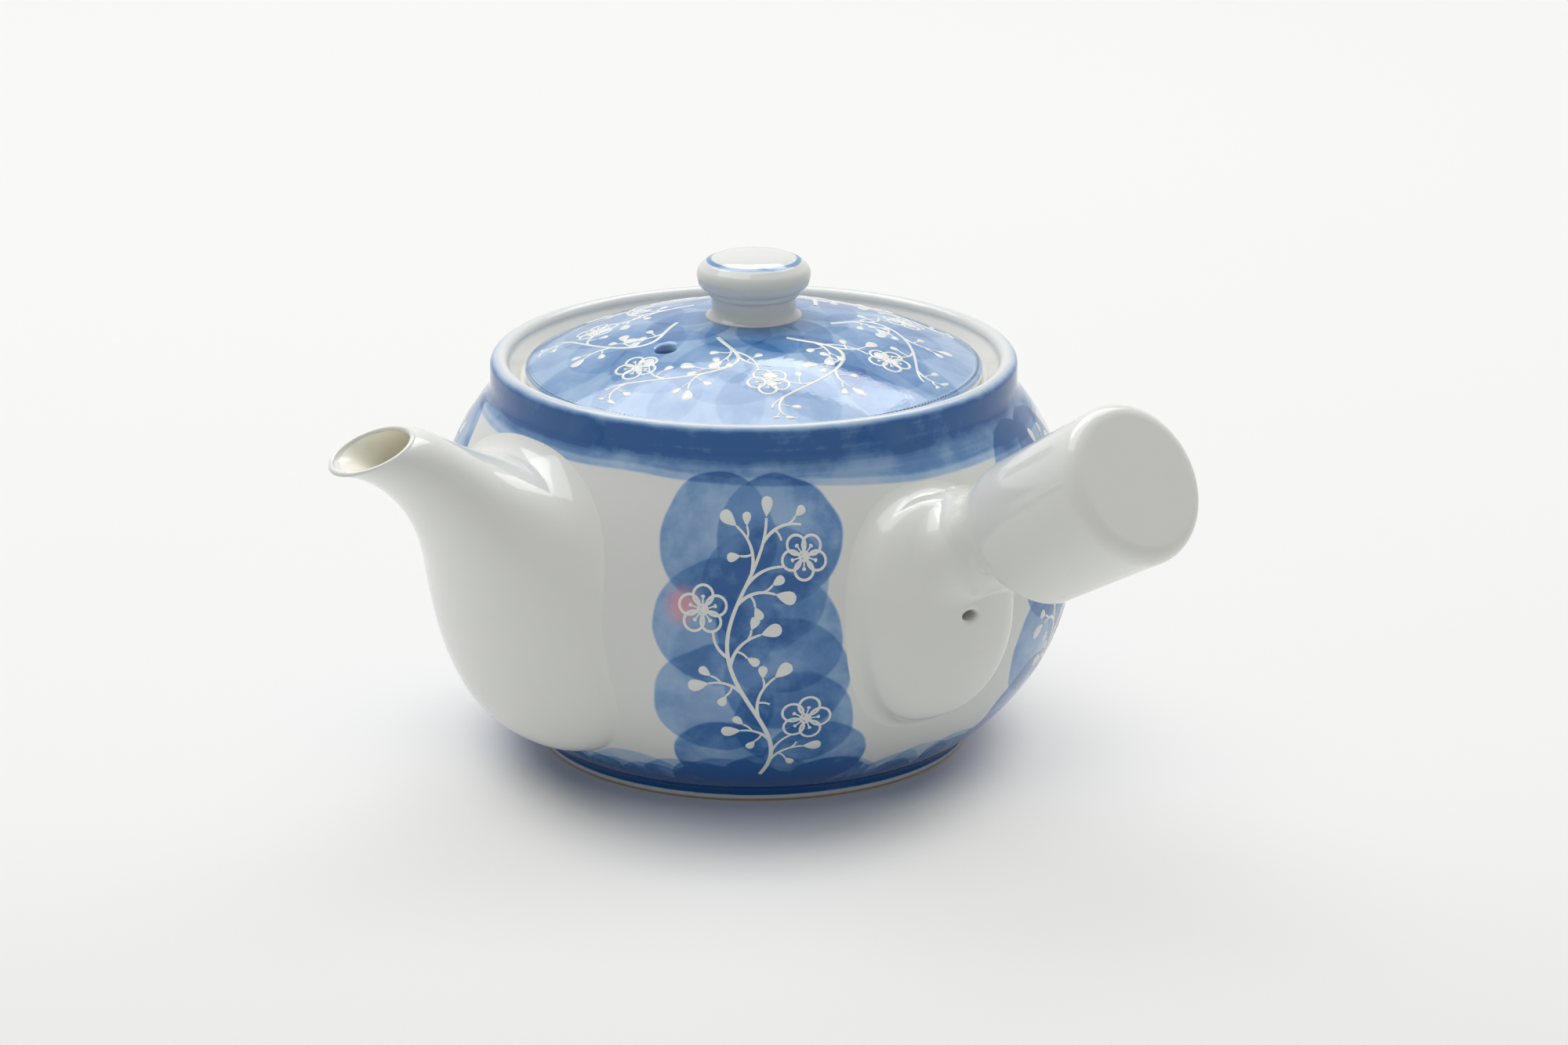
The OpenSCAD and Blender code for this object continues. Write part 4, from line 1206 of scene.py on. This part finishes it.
# the rays by which the background is seen, straight or in a glossy or clear surface
def seenRays(tree):
    rays = tree.nodes.new("ShaderNodeLightPath").outputs
    mirrored = calc(tree, "MAXIMUM", rays["Is Glossy Ray"], rays["Is Transmission Ray"])
    return calc(tree, "MAXIMUM", rays["Is Camera Ray"], mirrored)


# camera and mirrored rays see the floor partly as a white glow away from the foot: painted light that keeps
# the shadow light, weaker towards the front
def floorFinish():
    k = studio
    material, tree, shader = newMaterial("floorFinish", 0.6)
    point = objectPoint(tree)
    cloudy = blendColour(tree, noise(tree, point, 3.0, 2), k["floor"], tinted(k["floor"], [1.01] * 3))
    feed(tree, shader.inputs["Base Color"], cloudy)
    shader.inputs["Specular IOR Level"].default_value = 0.1
    x, y, _ = split(tree, point)
    ahead = math.radians(view["turn"])
    aside = plus(tree, times(tree, x, math.cos(ahead)), times(tree, y, math.sin(ahead)))
    front = less(tree, times(tree, x, math.sin(ahead)), times(tree, y, math.cos(ahead)))
    aside = plus(tree, aside, k["shadowAside"])
    reach = distance(tree, joined(tree, aside, times(tree, front, k["shadowDeep"])))
    paintedLight = tree.nodes.new("ShaderNodeEmission")
    paintedLight.inputs["Color"].default_value = k["paintedLightColour"]
    feed(tree, paintedLight.inputs["Strength"], ease(tree, front, *k["paintedLightFront"], *k["paintedLightStrength"]))
    both = tree.nodes.new("ShaderNodeMixShader")
    share = ease(tree, reach, *k["paintedLightReach"], 0.0, k["paintedLight"])
    feed(tree, both.inputs[0], times(tree, seenRays(tree), share))
    tree.links.new(shader.outputs[0], both.inputs[1])
    tree.links.new(paintedLight.outputs[0], both.inputs[2])
    tree.links.new(both.outputs[0], tree.nodes["Material Output"].inputs["Surface"])
    return material


grid = np.linspace(-studio["floorSide"], studio["floorSide"], 9) / mm
gx, gy = np.meshgrid(grid, grid)
floor = gridPiece("floor", np.stack([gx, gy, 0 * gx], -1), closeCols=False)
if floor.data.polygons[0].normal.z < 0:
    floor.data.flip_normals()
floor.data.materials.append(floorFinish())

# the sky lights the part softly and is seen as an even pale ground
world = bpy.data.worlds.new("studioWorld")
bpy.context.scene.world = world
world.use_nodes = True
skyTree = world.node_tree
up = split(skyTree, skyTree.nodes.new("ShaderNodeTexCoord").outputs["Generated"])[2]
shown = skyTree.nodes.new("ShaderNodeMix")
feed(skyTree, shown.inputs[0], seenRays(skyTree))
feed(skyTree, shown.inputs[2], ease(skyTree, up, 0.0, 1.0, studio["horizon"], studio["zenith"]))
feed(skyTree, shown.inputs[3], studio["seen"])
ground = skyTree.nodes["Background"]
ground.inputs["Color"].default_value = (1.0, 1.0, 1.0, 1)
feed(skyTree, ground.inputs["Strength"], shown.outputs[0])


# a way out from the middle, by its bearing and its height angle
def outwards(turnDeg, riseDeg):
    g, e = math.radians(turnDeg), math.radians(riseDeg)
    return np.array([math.sin(g) * math.cos(e), -math.cos(g) * math.cos(e), math.sin(e)])


camera = bpy.data.cameras.new("camera")
camera.lens = view["lens"]
camera.sensor_width = view["sensor"]
camera.sensor_fit = "HORIZONTAL"
cameraObj = bpy.data.objects.new("camera", camera)
cameraObj.location = outwards(view["turn"], view["rise"]) * view["far"]
yaw = math.radians(view["turn"]) - math.radians(view["yaw"])
cameraObj.rotation_euler = (math.radians(90 - view["pitch"]), 0, yaw)
bpy.context.scene.collection.objects.link(cameraObj)
bpy.context.scene.camera = cameraObj


# a soft box placed round the part and turned to look at it
def softBox(name, turnDeg, riseDeg, far, size, power, aim=(0, 0, 0.04)):
    lamp = bpy.data.lights.new(name, "AREA")
    lamp.shape = "RECTANGLE"
    lamp.size, lamp.size_y = size
    lamp.energy = power
    obj = bpy.data.objects.new(name, lamp)
    obj.location = outwards(view["turn"] + turnDeg, riseDeg) * far + np.array(aim)
    look = np.array(aim) - obj.location
    tilt = math.atan2(math.hypot(look[0], look[1]), -look[2])
    obj.rotation_euler = (tilt, 0, math.atan2(look[1], look[0]) - math.pi / 2)
    bpy.context.scene.collection.objects.link(obj)


for name, values in boxes.items():
    softBox(name, *values)
bpy.context.scene.view_settings.view_transform = "Standard"
print("studio ready")
